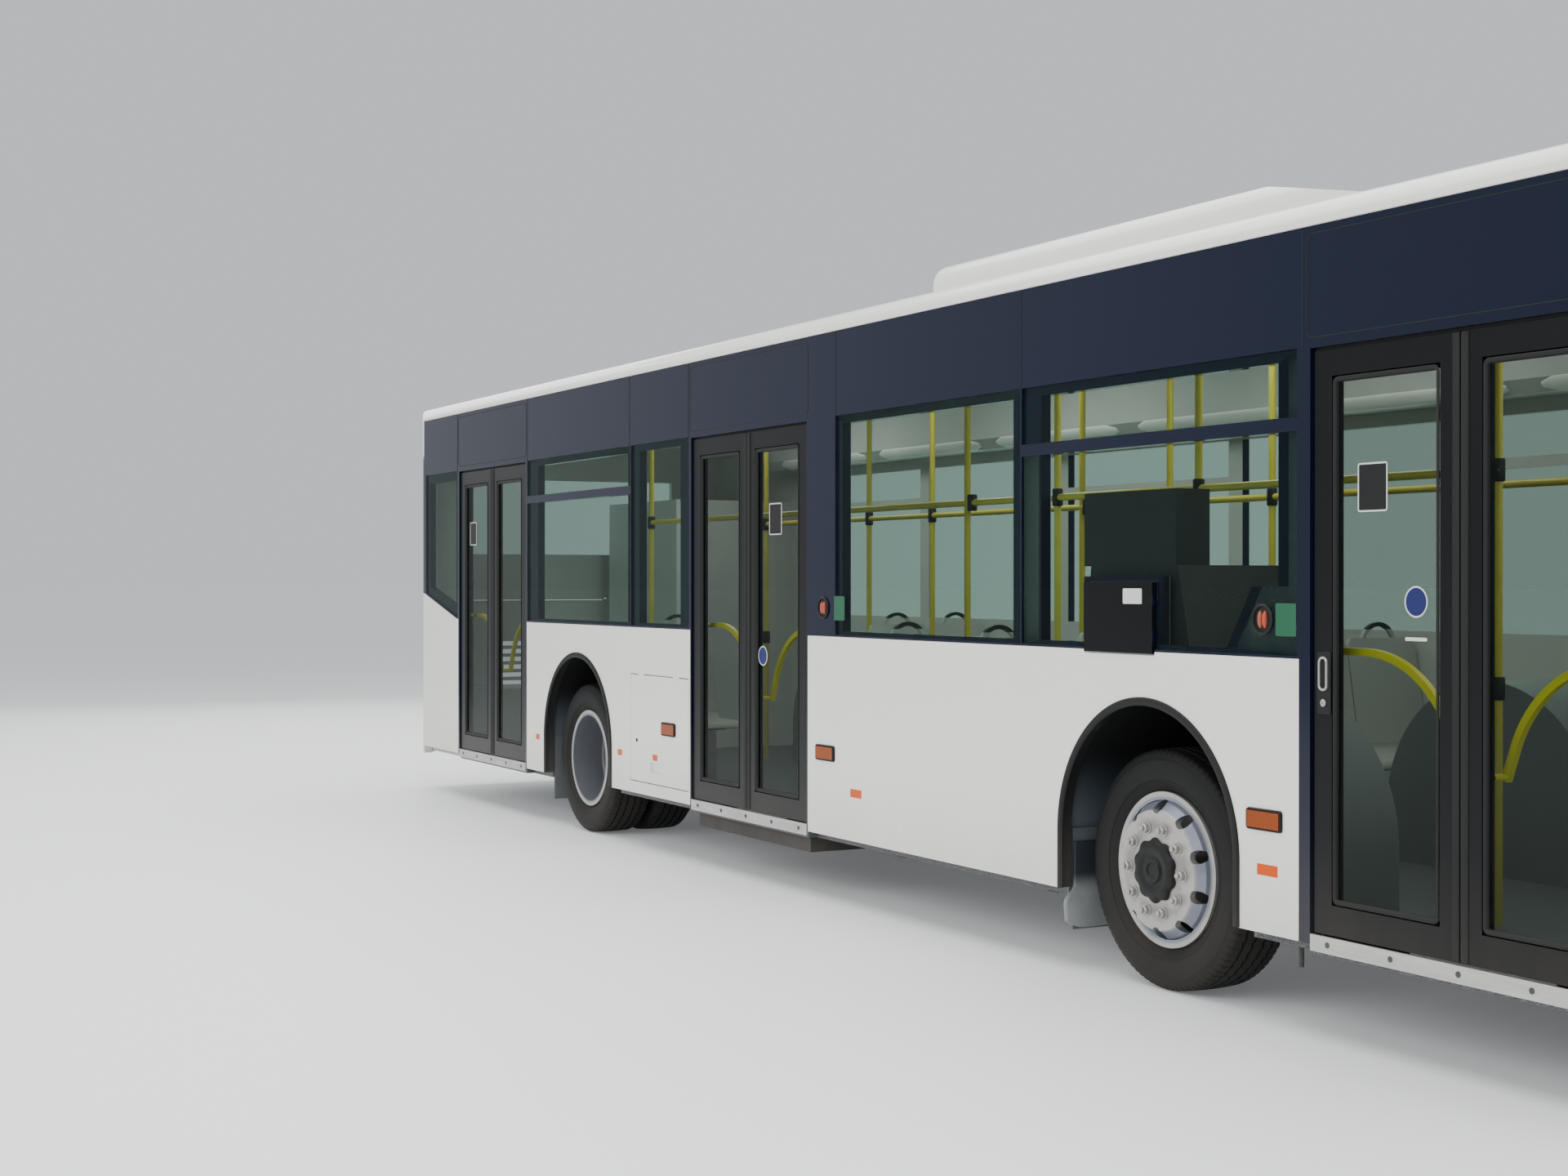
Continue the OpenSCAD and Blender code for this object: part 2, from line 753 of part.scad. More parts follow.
// The roof unit: a long hood with a blunt rear end and a long taper to the front.
unit_low = roof_top - 75;
unit_nose = 900;
unit_tail_r = 90;
fan_first = 593;
fan_pitch = 600;
fan_r = 210;
fan_depth = 45;
unit_edge_r = 100;
module roof_unit() {
  color(white) difference() {
    intersection() {
      translate([0, unit_half_w, 0]) rotate([90, 0, 0]) linear_extrude(2 * unit_half_w) {
        polygon([
          [unit_x0, unit_low], [unit_x1, unit_low], [unit_x1, roof_top - 20],
          [unit_x1 - unit_nose, unit_top], [unit_x0 + unit_tail_r, unit_top],
          [unit_x0 + unit_tail_r, unit_top - unit_tail_r], [unit_x0, unit_top - unit_tail_r]
        ]);
        translate([unit_x0 + unit_tail_r, unit_top - unit_tail_r]) circle(unit_tail_r);
      }
      rotate([90, 0, 90]) linear_extrude(2 * front_x, center = true)
        crown_2d(unit_half_w, unit_top, 9000, unit_edge_r, unit_low);
    }
    roof_section(-seat_fit);
    for (i = [0:2])
      translate([unit_x0 + fan_first + i * fan_pitch, 0, unit_top - fan_depth])
        cylinder(fan_depth + 10, fan_r, fan_r);
  }
}

// Floor, with its cut-outs for the wheels and for the engine bay.
house_t = 15;
house_grow = 18;
house_half = arch_r + house_grow;
tower_x0 = rear_side_x + 10;
tower_x1 = rear_axle_x - 1825;
tower_y0 = 250;
tower_top = cant_z - 618;
podium_x1 = jamb_x0(REAR_DOOR) - 130;
podium_top = 790;

module floor_plate() {
  difference() {
    union() {
      intersection() {
        linear_extrude(floor_t) intersection() {
          front_plan(wall_t + seat_fit);
          rear_plan(wall_t + seat_fit);
        }
        span([rear_side_x + 20, -inner_y, 0], [front_side_x + 40, inner_y, floor_t]);
      }
      for (d = [0:2])
        span([opening_x0(d) + 1, -side_y + leaf_recess + 3, 0], [opening_x1(d) - 1, -inner_y + 1, floor_t]);
    }
    for (s = [-1, 1]) {
      house_void(front_axle_x, s * front_house_y, s * side_y);
      house_void(rear_axle_x, s * rear_house_y, s * side_y);
    }
    span([rear_x, tower_y0, -1], [tower_x1, side_y, floor_t + 1]);
    span([rear_x, -side_y, -1], [podium_x1, side_y, floor_t + 1]);
  }
}

module house_void(x, y0, y1) {
  span([x - house_half - house_t, min(y0, y1), -1], [x + house_half + house_t, max(y0, y1), floor_t + 1]);
}

module floor_node() {
  color(frame_grey) translate([0, 0, floor_low]) floor_plate();
}

// Wheel houses: arched tubs, closed towards the aisle.
module wheel_house(x, side, y0) {
  difference() {
    on_side(side, y0, inner_y) intersection() {
      arch_2d(x, house_grow + house_t);
      translate([x - 2000, floor_low]) square([4000, 2000]);
    }
    on_side(side, y0 + house_t, inner_y + 1) arch_2d(x, house_grow);
  }
}

flap_z0 = 158;
flap_t = 10;
// The tank's housing over the right front wheel, with a cabinet on top; places from the axle.
tank_z0 = 800;
tank_z1 = 1650;
tank_y0 = front_house_y + 90;
tank_wall_gap = 12;
TANK = [[-555, tank_z0], [300, tank_z0], [250, 1080], [120, tank_z1], [-440, tank_z1]];
cabinet_x0 = -486;
cabinet_x1 = 107;
cabinet_top = 1944;
cabinet_y0 = side_y - 235;

module tank_housing() {
  difference() {
    union() {
      on_side(RIGHT, tank_y0, inner_y - tank_wall_gap) translate([front_axle_x, 0]) polygon(TANK);
      span([front_axle_x + cabinet_x0, -inner_y + tank_wall_gap, tank_z1 - 1],
           [front_axle_x + cabinet_x1, -cabinet_y0, cabinet_top]);
    }
    on_side(RIGHT, front_house_y, inner_y + 1) arch_2d(front_axle_x, house_grow + house_t / 2);
  }
}

module wheel_houses() {
  color(liner_grey) tank_housing();
  color(liner_grey) for (side = [RIGHT, LEFT]) {
    wheel_house(front_axle_x, side, front_house_y);
    wheel_house(rear_axle_x, side, rear_house_y);
    for (x = [front_axle_x, rear_axle_x])
      on_side(side, inner_y - 330, inner_y - 10)
        translate([x - house_half + seat_fit, flap_z0]) square([flap_t, arch_z - flap_z0]);
  }
}

// Underframe: long beams, cross beams, the ramp's cassette and the jacking pads.
beam_z0 = 200;
beam_w = 80;
beam_y = 400;
axle_space = 190;
beam_inset = 260;
BEAM_RUNS = [
  [rear_side_x + 170, rear_axle_x - axle_space],
  [rear_axle_x + axle_space, front_axle_x - axle_space],
  [front_axle_x + axle_space, front_side_x]
];
CROSS_BEAMS = [
  front_x - 675, front_x - 1575, front_axle_x - 1070, rear_axle_x + 3475, rear_axle_x + 1675,
  rear_axle_x + 875, rear_axle_x - 925, rear_axle_x - 1725, rear_x + 675
];
cassette_z0 = 222;
pad_x = 700;
pad_r = 60;
pad_drop = 10;
drain_x = jamb_x0(FRONT_DOOR) - 81;
drain_y = side_y - 85;
drain_z0 = 225;
drain_r = 9;

module underframe() {
  color(steel) difference() {
    union() {
      for (r = BEAM_RUNS)
        for (s = [-1, 1])
          span([r[0], s * beam_y - beam_w / 2, beam_z0], [r[1], s * beam_y + beam_w / 2, floor_low]);
      for (x = CROSS_BEAMS)
        span([x - 40, -inner_y + beam_inset, beam_z0 + 30], [x + 40, inner_y - beam_inset, floor_low]);
      span([opening_x0(MIDDLE_DOOR) + 30, -side_y + 40, cassette_z0],
           [opening_x1(MIDDLE_DOOR) - 30, -beam_y, floor_low]);
      for (x = [front_axle_x - pad_x, rear_axle_x + pad_x])
        for (s = [-1, 1])
          translate([x, s * beam_y, beam_z0 - pad_drop]) cylinder(pad_drop + 1, pad_r, pad_r);
      translate([drain_x, -drain_y, drain_z0]) cylinder(floor_low - drain_z0, drain_r, drain_r);
    }
  }
}

// Engine block and its housing in the rear left corner.
engine_y = inner_y - 435;
engine_w = 560;
engine_h = 880;
module engine() {
  color(steel)
    span([tower_x0 + 190, engine_y - engine_w / 2, floor_low + seat_fit],
         [tower_x1 - 150, engine_y + engine_w / 2, floor_low + seat_fit + engine_h]);
}

module engine_tower() {
  t = 20;
  color(panel_grey) {
    difference() {
      span([tower_x0, tower_y0, floor_low], [tower_x1, inner_y, tower_top]);
      span([tower_x0 - 1, tower_y0 + t, floor_low - 1], [tower_x1 - t, inner_y - t, tower_top - t]);
      for (z = [grille_z0 - 10:louvre_pitch:grille_z1])
        span([grille_x0, inner_y - 2 * t, z], [grille_x1, inner_y + 1, z + louvre_w]);
    }
    difference() {
      span([tower_x0, -inner_y, floor_low], [podium_x1, tower_y0, podium_top]);
      span([tower_x0 - 1, -inner_y + t, floor_low - 1], [podium_x1 - t, tower_y0 - t, podium_top - t]);
    }
  }
}

// Axles. The front beam drops between the wheels; the rear one is a portal axle.
axle_z0 = 215;
axle_z1 = 290;
axle_half = 50;
leg_y0 = kingpin_y - 160;
leg_y1 = kingpin_y - 100;
eye_half = 70;
diff_r = 80;
portal_half = 80;
portal_y0 = rear_outer_y - 468;
portal_y1 = rear_outer_y - 373;
rear_stub_y1 = rear_outer_y - 168;
stop_y = 450;
stop_r = 40;

// A rubber stop between an axle and the floor.
module bump_stop(x, side, z) {
  translate([x, side * stop_y, z]) cylinder(floor_low - seat_fit - z, stop_r, stop_r);
}

module axles() {
  color(steel) {
    difference() {
      union() {
        span([front_axle_x - axle_half, -leg_y1, axle_z0], [front_axle_x + axle_half, leg_y1, axle_z1]);
        for (s = [-1, 1]) {
          span([front_axle_x - axle_half, min(s * leg_y0, s * leg_y1), axle_z0],
               [front_axle_x + axle_half, max(s * leg_y0, s * leg_y1), wheel_z + eye_half]);
          span([front_axle_x - axle_half, min(s * leg_y0, s * kingpin_y), wheel_z - eye_half],
               [front_axle_x + axle_half, max(s * leg_y0, s * kingpin_y), wheel_z + eye_half]);
          translate([front_axle_x, s * kingpin_y, wheel_z - eye_half])
            cylinder(2 * eye_half, axle_half, axle_half);
        }
      }
      for (s = [-1, 1])
        translate([front_axle_x, s * kingpin_y, 0])
          cylinder(1000, kingpin_r + running_fit, kingpin_r + running_fit);
    }
    translate([rear_axle_x, -portal_y1, (axle_z0 + axle_z1) / 2]) rotate([-90, 0, 0])
      cylinder(2 * portal_y1, 45, 45);
    translate([rear_axle_x, -120, axle_z0]) rotate([-90, 0, 0]) cylinder(240, diff_r, diff_r);
    for (s = [-1, 1]) {
      bump_stop(rear_axle_x, s, (axle_z0 + axle_z1) / 2);
      bump_stop(front_axle_x, s, axle_z1 - 1);
    }
    for (s = [-1, 1]) {
      span([rear_axle_x - portal_half, min(s * portal_y0, s * portal_y1), axle_z0 + 15],
           [rear_axle_x + portal_half, max(s * portal_y0, s * portal_y1), wheel_z + 70]);
      translate([rear_axle_x, s * portal_y0, wheel_z]) rotate([s > 0 ? -90 : 90, 0, 0])
        cylinder(rear_stub_y1 - portal_y0, rear_stub_r, rear_stub_r);
    }
  }
}

// Steering knuckle: a yoke round the beam's eye, its kingpin and its stub axle.
yoke_half = 45;
yoke_t = 30;
yoke_y1 = kingpin_y + 110;
web_y0 = kingpin_y + 68;
stub_y1 = front_wheel_y + 75;

module knuckle(s) {
  z_low = wheel_z - eye_half - move_gap - yoke_t;
  z_high = wheel_z + eye_half + move_gap;
  color(steel) {
    for (z = [z_low, z_high]) {
      span([front_axle_x - yoke_half, min(s * kingpin_y, s * yoke_y1), z],
           [front_axle_x + yoke_half, max(s * kingpin_y, s * yoke_y1), z + yoke_t]);
      translate([front_axle_x, s * kingpin_y, z]) cylinder(yoke_t, yoke_half, yoke_half);
    }
    span([front_axle_x - yoke_half, min(s * web_y0, s * yoke_y1), z_low],
         [front_axle_x + yoke_half, max(s * web_y0, s * yoke_y1), z_high + yoke_t]);
    translate([front_axle_x, s * kingpin_y, z_low]) cylinder(z_high + yoke_t - z_low, kingpin_r, kingpin_r);
    translate([front_axle_x, s * web_y0, wheel_z]) rotate([s > 0 ? -90 : 90, 0, 0])
      cylinder(stub_y1 - web_y0, stub_r, stub_r);
  }
}

// Puts a shape that is turned about its own Z axis onto a wheel's axle, outwards along Z.
module at_wheel(x, y, side) {
  translate([x, side * y, wheel_z]) rotate([side > 0 ? -90 : 90, 0, 0]) children();
}

rim_half = 118;
flange_t = 14;
module tyre() {
  h = tyre_w / 2;
  bead = rim_half - flange_t - seat_fit;
  rotate_extrude($fn = 40) polygon([
    [rim_r - flange_t, -bead], [rim_r + 2 * seat_fit, -bead], [rim_r + 40, -h + 4],
    [tyre_r - 80, -h], [tyre_r - 12, -h + 22],
    [tyre_r, -h + 44], [tyre_r, h - 44], [tyre_r - 12, h - 22], [tyre_r - 80, h],
    [rim_r + 40, h - 4], [rim_r + 2 * seat_fit, bead], [rim_r - flange_t, bead]
  ]);
}

// The rim's barrel: radius and place across the wheel, outer edge at +h.
rim_t = 12;
module barrel_2d(h) {
  polygon([
    [rim_r - 2 * rim_t - 8, -h], [rim_r, -h], [rim_r, -h + flange_t],
    [rim_r - flange_t - seat_fit, -h + flange_t], [rim_r - flange_t - seat_fit, h - flange_t],
    [rim_r, h - flange_t], [rim_r, h], [rim_r - 2 * rim_t - 8, h]
  ]);
}

hand_holes = 10;
hand_r = 26;
hub_r = 140;
disc_r = 205;

module hand_hole_ring(r, z0, z1) {
  for (i = [0:hand_holes - 1])
    rotate(i * 360 / hand_holes + 18) translate([r, 0, z0]) cylinder(z1 - z0, hand_r, hand_r, $fn = 24);
}

module front_rim() {
  b = rim_r - 2 * rim_t - 8;
  difference() {
    rotate_extrude($fn = 96) {
      barrel_2d(rim_half);
      polygon([
        [0, 95], [hub_r, 95], [hub_r + 8, rim_half + 20], [225, rim_half + 22], [252, rim_half - 8],
        [b + 2, rim_half - 40], [b + 2, rim_half - 14], [262, rim_half + 12],
        [232, rim_half + 47], [hub_r + 40, rim_half + 47], [hub_r - 30, rim_half + 47],
        [hub_r - 40, rim_half + 62], [0, rim_half + 62]
      ]);
      translate([0, 70]) square([110, 60]);
      translate([0, -26]) square([110, 150]);
      translate([0, -26]) square([disc_r, 28]);
    }
    translate([0, 0, -27])
      cylinder(stub_y1 - front_wheel_y + 32, stub_r + running_fit, stub_r + running_fit);
    hand_hole_ring(246, rim_half - 60, rim_half + 60);
  }
}

module rear_outer_rim_2d(h, face) {
  b = rim_r - 2 * rim_t - 8;
  barrel_2d(h);
  polygon([
    [70, face], [230, face], [b + 2, face + 60], [b + 2, face + 78], [224, face + 18], [70, face + 18]
  ]);
}

module rear_rims() {
  mid = -twin_pitch / 2;
  bore_r = rear_stub_r + running_fit;
  difference() {
    rotate_extrude($fn = 96) {
      rear_outer_rim_2d(rim_half, mid);
      translate([0, 2 * mid]) mirror([0, 1]) rear_outer_rim_2d(rim_half, mid);
      translate([0, mid - 160]) square([130, 270]);
    }
    translate([0, 0, mid - 161])
      cylinder(rear_stub_y1 - rear_outer_y - mid + 166, bore_r, bore_r);
    hand_hole_ring(200, mid - 60, mid + 60);
  }
}

// A door leaf closes along X. Its own frame has the post's axis at the origin, X towards the
// closing edge and Y outwards; hand 1 closes forwards and hand -1 closes rearwards.
function post_x(d, hand) = DOORS[d][door_x] - hand * (leaf_edge + leaf_w + leaf_meet);

module at_post(d, hand) {
  translate([post_x(d, hand), -post_y, 0]) mirror([0, 1, 0]) mirror([hand < 0 ? 1 : 0, 0, 0]) children();
}

arm_low_z = leaf_z0 - 28;
arm_high_z = leaf_z1 + move_gap;

module door_post() {
  color(frame_grey) {
    translate([0, 0, floor_top + seat_fit]) cylinder(duct_z - floor_top - 2 * seat_fit, post_r, post_r);
    for (z = [arm_low_z, arm_high_z]) difference() {
      union() {
        span([0, -arm_w / 2, z], [arm_len, arm_w / 2, z + arm_t]);
        translate([arm_len, 0, z]) cylinder(arm_t, arm_w / 2 + 4, arm_w / 2 + 4);
      }
      translate([arm_len, 0, z - 1]) cylinder(arm_t + 2, pin_r + running_fit, pin_r + running_fit);
    }
  }
}

bracket_t = 16;
glass_lap = 14;
leaf_pane_t = 8;
pane_face = leaf_in + 20;
handle_w = 26;
handle_y0 = -30;
handle_y1 = -6;
// The handle runs level, bends through an arc and drops towards the closing edge.
handle_x0 = 50;
handle_x1 = 180;
handle_z = 1345;
handle_bend = 430;
handle_turn = 70;
handle_drop = 110;

module door_leaf() {
  x1 = leaf_edge + leaf_w;
  color(frame_grey) {
    difference() {
      span([leaf_edge, leaf_in, leaf_z0], [x1, leaf_out, leaf_z1]);
      span([leaf_edge + stile_w, leaf_in - 1, leaf_glass_z0],
           [x1 - stile_w, leaf_out + 1, leaf_glass_z1]);
      span([leaf_edge + stile_w - glass_lap, pane_face, leaf_glass_z0 - glass_lap],
           [x1 - stile_w + glass_lap, leaf_out + 1, leaf_glass_z1 + glass_lap]);
    }
    for (z = [leaf_z0, leaf_z1 - bracket_t]) {
      span([arm_len - 25, 0, z], [arm_len + 25, leaf_in + 1, z + bracket_t]);
      translate([arm_len, 0, z]) cylinder(bracket_t, 25, 25);
    }
    translate([arm_len, 0, arm_low_z]) cylinder(leaf_z0 - arm_low_z + 1, pin_r, pin_r);
    translate([arm_len, 0, leaf_z1 - 1]) cylinder(arm_high_z + arm_t - leaf_z1 + 1, pin_r, pin_r);
    door_handle();
  }
}

module bar(a, b, r) {
  v = b - a;
  len = norm(v);
  translate(a) rotate([0, acos(v[2] / len), atan2(v[1], v[0])]) cylinder(len, r, r, $fn = 24);
}

module handle_2d() {
  a = 90 - handle_turn;
  h = handle_w / 2;
  far = 2 * handle_bend;
  translate([handle_x0, handle_z - h]) square([handle_x1 - handle_x0 + eps, handle_w]);
  translate([handle_x1, handle_z - handle_bend]) {
    intersection() {
      difference() {
        circle(handle_bend + h, $fn = 120);
        circle(handle_bend - h, $fn = 120);
      }
      polygon([[0, 0], [far * cos(a), far * sin(a)], [far, far], [0, far]]);
    }
    rotate(a) translate([handle_bend - h, -handle_drop]) square([handle_w, handle_drop + eps]);
  }
}

// Lies flat in the leaf's own X and Z, with a foot on each stile.
module door_handle() {
  a = 90 - handle_turn;
  foot = handle_w / 2 - 2;
  tip = [handle_x1 + handle_bend * cos(a) + (handle_drop - foot - 2) * sin(a),
         handle_z - handle_bend * (1 - sin(a)) - (handle_drop - foot - 2) * cos(a)];
  translate([0, handle_y1, 0]) rotate([90, 0, 0]) linear_extrude(handle_y1 - handle_y0) handle_2d();
  for (q = [[handle_x0 + foot + 2, handle_z], tip])
    translate([q[0], handle_y1 - 1, q[1]]) rotate([-90, 0, 0])
      cylinder(leaf_in - handle_y1 + 2, foot, foot);
}

module door_glass() {
  x1 = leaf_edge + leaf_w - stile_w + glass_lap - seat_fit;
  color(glass_tint)
    span([leaf_edge + stile_w - glass_lap + seat_fit, pane_face, leaf_glass_z0 - glass_lap + seat_fit],
         [x1, pane_face + leaf_pane_t, leaf_glass_z1 + glass_lap - seat_fit]);
}

// Aluminium sills under the leaves.
sill_z0 = 312;
module door_sills() {
  color(alloy) for (d = [0:2])
    span([opening_x0(d) + 1, -side_y, sill_z0],
         [opening_x1(d) - 1, -side_y + leaf_recess + 3, leaf_z0 - move_gap]);
}

// Inside
duct_y0 = inner_y - 255;
duct_x0 = rear_axle_x - 1805;
duct_x1 = front_x - 415;
duct_h = 300;
module ceiling_ducts() {
  color(panel_grey) intersection() {
    for (side = [RIGHT, LEFT])
      translate([duct_x0, 0, 0]) rotate([90, 0, 90]) linear_extrude(duct_x1 - duct_x0)
        polygon([
          [side * duct_y0, duct_z + 60], [side * (duct_y0 + 60), duct_z], [side * inner_y, duct_z],
          [side * inner_y, duct_z + duct_h], [side * duct_y0, duct_z + duct_h]
        ]);
    roof_section(roof_t + seat_fit);
  }
}

// Stanchions: place along the bus, side.
stanchion_front = front_x - 1715;
stanchion_door = jamb_x0(MIDDLE_DOOR) - 205;
STANCHIONS = [
  [stanchion_front, LEFT], [stanchion_front, RIGHT], [front_axle_x - 710, RIGHT],
  [front_axle_x - 1260, LEFT], [front_axle_x - 1770, RIGHT], [front_axle_x - 2040, LEFT],
  [jamb_x1(MIDDLE_DOOR) + 175, RIGHT], [jamb_x1(MIDDLE_DOOR) - 55, LEFT],
  [stanchion_door, RIGHT], [stanchion_door, LEFT], [rear_axle_x + 725, RIGHT],
  [rear_axle_x + 725, LEFT], [rear_axle_x - 725, RIGHT], [rear_axle_x - 725, LEFT]
];
rail_x0 = rear_axle_x - 825;
rail_x1 = stanchion_front + 20;
ceiling_at_rail = roof_top - roof_t - rail_y * rail_y / (2 * roof_crown_r) - 1.5;
module grab_rails() {
  color(rail_yellow) {
    for (s = [-1, 1])
      translate([rail_x0, s * rail_y, rail_z]) rotate([0, 90, 0])
        cylinder(rail_x1 - rail_x0, rail_r, rail_r, $fn = 24);
    for (p = STANCHIONS)
      translate([p[0], p[1] * rail_y, floor_top + seat_fit])
        cylinder(ceiling_at_rail - floor_top - seat_fit, rail_r, rail_r, $fn = 24);
  }
}

// Rows of seats run back from the front wheel houses for as long as the middle door leaves room.
seat_wall_y = inner_y - 230;
seat_aisle_y = inner_y - 667;
row_left = front_axle_x - 850;
row_right = front_axle_x - 1170;
row_pitch_left = 780;
row_pitch_right = 800;
LEFT_ROWS = [row_left:-row_pitch_left:jamb_x1(MIDDLE_DOOR) + 300];
RIGHT_ROWS = [row_right:-row_pitch_right:jamb_x1(MIDDLE_DOOR) + 500];
seat_rear_x = rear_axle_x + 1175;
SEATS = concat(
  [for (x = LEFT_ROWS) for (y = [seat_wall_y, seat_aisle_y]) [x, y]],
  [for (y = [seat_wall_y, seat_aisle_y, -seat_wall_y]) [seat_rear_x, y]],
  [for (x = RIGHT_ROWS) [x, -seat_wall_y]]
);
seat_shell = 26;
seat_depth = 400;
back_lean = 10;
back_len = 520;
lip_r = 40;
crook_r = 70;
handle_r = 110;
handle_bar = 20;

// The shell from the side: cushion, crook and leaning back, all of one thickness.
module seat_profile() {
  z = seat_h - seat_shell;
  translate([-seat_depth / 2 + crook_r, z]) square([seat_depth - crook_r - lip_r, seat_shell]);
  translate([seat_depth / 2 - lip_r, z - lip_r + seat_shell]) intersection() {
    difference() {
      circle(lip_r);
      circle(lip_r - seat_shell);
    }
    square(lip_r + 1);
  }
  translate([-seat_depth / 2 + crook_r, z + crook_r]) {
    intersection() {
      difference() {
        circle(crook_r);
        circle(crook_r - seat_shell);
      }
      polygon(2 * crook_r * [[0, 0], [0.01, -1], [-1, -1], [-cos(back_lean), sin(back_lean)]]);
    }
    rotate(back_lean) translate([-crook_r, -2]) square([seat_shell, back_len]);
  }
}

module seat() {
  top = seat_h + crook_r + back_len * cos(back_lean);
  back_x = -seat_depth / 2 - back_len * sin(back_lean);
  intersection() {
    rotate([90, 0, 0]) linear_extrude(seat_w, center = true) seat_profile();
    rotate([90, 0, 90]) linear_extrude(2 * seat_depth, center = true) {
      translate([-seat_w / 2, seat_h - 100]) square([seat_w, top - seat_h]);
      translate([-seat_w / 2 + 90, seat_h]) square([seat_w - 180, top - seat_h + 10]);
      for (s = [-1, 1]) translate([s * (seat_w / 2 - 90), top - 100]) circle(90);
    }
  }
  translate([back_x - 4, 0, top - 70]) rotate([90, 0, 90]) linear_extrude(handle_bar) {
    intersection() {
      difference() {
        circle(handle_r);
        circle(handle_r - handle_bar);
      }
      translate([-handle_r, 0]) square([2 * handle_r, handle_r + 1]);
    }
    for (s = [-1, 1])
      translate([s * (handle_r - handle_bar / 2) - handle_bar / 2, -60]) square([handle_bar, 61]);
  }
  translate([-40, 0, seat_fit]) {
    cylinder(seat_h - seat_shell, 30, 30);
    cylinder(10, 90, 90);
    translate([-110, -150, seat_h - seat_shell - 30]) cube([220, 300, 30.5]);
  }
}

module seats() {
  color(panel_grey) for (p = SEATS) translate([p[0], p[1], floor_top]) seat();
}

cab_y = inner_y - 465;
driver_x = front_x - 1075;
module driver_seat() {
  color(frame_grey) translate([driver_x, cab_y, floor_top]) {
    translate([-230, -240, 380]) cube([480, 480, 110]);
    translate([-290, -230, 400]) cube([110, 460, 680]);
    translate([-270, -130, 1070]) cube([80, 260, 170]);
    translate([-150, -150, seat_fit]) cube([300, 300, 385]);
  }
}

dash_w = 1500;
dash_x1 = front_x - 285;
module dashboard() {
  color(frame_grey) {
    translate([dash_x1, inner_y - 30, 0]) rotate([90, 0, 0]) linear_extrude(dash_w)
      polygon([
        [-270, floor_top + seat_fit], [-70, floor_top + seat_fit], [0, 1180], [-360, 1230], [-360, 1000]
      ]);
    translate([driver_x + 330, cab_y, 1050]) rotate([0, -25, 0]) {
      rotate_extrude() translate([215, 0]) circle(15, $fn = 24);
      cylinder(30, 45, 45, center = true);
      for (a = [0, 120, 240]) rotate(a) translate([0, -15, -6]) cube([215, 30, 12]);
      translate([0, 0, -190]) cylinder(190, 30, 30);
    }
  }
}

cab_wall_x = front_x - 1545;
cab_wall_t = 30;
cab_wall_y = 330;
cab_wall_top = cant_z - 818;
cab_door_len = 740;
cab_door_top = 1250;
module cab_partition() {
  color(panel_grey) {
    span([cab_wall_x, cab_wall_y, floor_top + seat_fit],
         [cab_wall_x + cab_wall_t, inner_y - seat_fit, cab_wall_top]);
    span([cab_wall_x + cab_wall_t, cab_wall_y, floor_top + seat_fit],
         [cab_wall_x + cab_wall_t + cab_door_len, cab_wall_y + 25, cab_door_top]);
  }
}

module headlamps() {
  color(lamp_clear) for (s = [-1, 1])
    intersection() {
      front_ring(4, 40, headlamp_z0 + seat_fit, headlamp_z1 - seat_fit, side_y, front_side_x - 200);
      span([front_side_x - 200, s > 0 ? headlamp_y0 + seat_fit : -headlamp_y1 + seat_fit, 0],
           [front_x, s > 0 ? headlamp_y1 - seat_fit : -headlamp_y0 - seat_fit, 2000]);
    }
}

// The round lamps stand a little proud of the rounded corner.
module tail_lamps() {
  color(lamp_red) for (s = [-1, 1])
    for (z = TAIL_ROWS)
      translate([tail_x, s * tail_y, z]) rotate([0, 90, 0]) {
        translate([0, 0, tail_bevel]) cylinder(tail_depth - tail_bevel, tail_r, tail_r);
        cylinder(tail_bevel, tail_r - tail_bevel, tail_r);
      }
}

// Side marker lamps: middle, height, length and height of the lens.
MARKERS = [
  [front_axle_x + 704, 739, 170, 60], [jamb_x1(MIDDLE_DOOR) + 188, 742, 170, 60],
  [front_axle_x + 717, 561, 110, 40], [jamb_x1(MIDDLE_DOOR) + 491, 567, 110, 40],
  [rear_axle_x + 694, 559, 70, 36], [rear_axle_x - 694, 562, 70, 36]
];
// The lamps on the service flap.
FLAP_MARKERS = [
  [jamb_x0(MIDDLE_DOOR) - 289, 739, 170, 60], [jamb_x0(MIDDLE_DOOR) - 485, 563, 70, 36]
];
marker_depth = 10;
marker_proud = 12;
module marker_2d(m, grow) {
  translate([m[0] - m[2] / 2 - grow, m[1] - m[3] / 2 - grow]) square([m[2] + 2 * grow, m[3] + 2 * grow]);
}
module marker_pockets(side, markers) {
  on_side(side, side_y - marker_depth, side_y + 1) for (m = markers) marker_2d(m, seat_fit);
}
module lenses(side, markers) {
  for (m = markers)
    on_side(side, side_y - marker_depth, side_y + (m[2] > 120 ? marker_proud : 0)) marker_2d(m, 0);
}
module marker_lamps() {
  color(amber) {
    lenses(RIGHT, MARKERS);
    lenses(LEFT, concat(MARKERS, FLAP_MARKERS));
  }
}
module flap_lamps() {
  color(amber) lenses(RIGHT, FLAP_MARKERS);
}

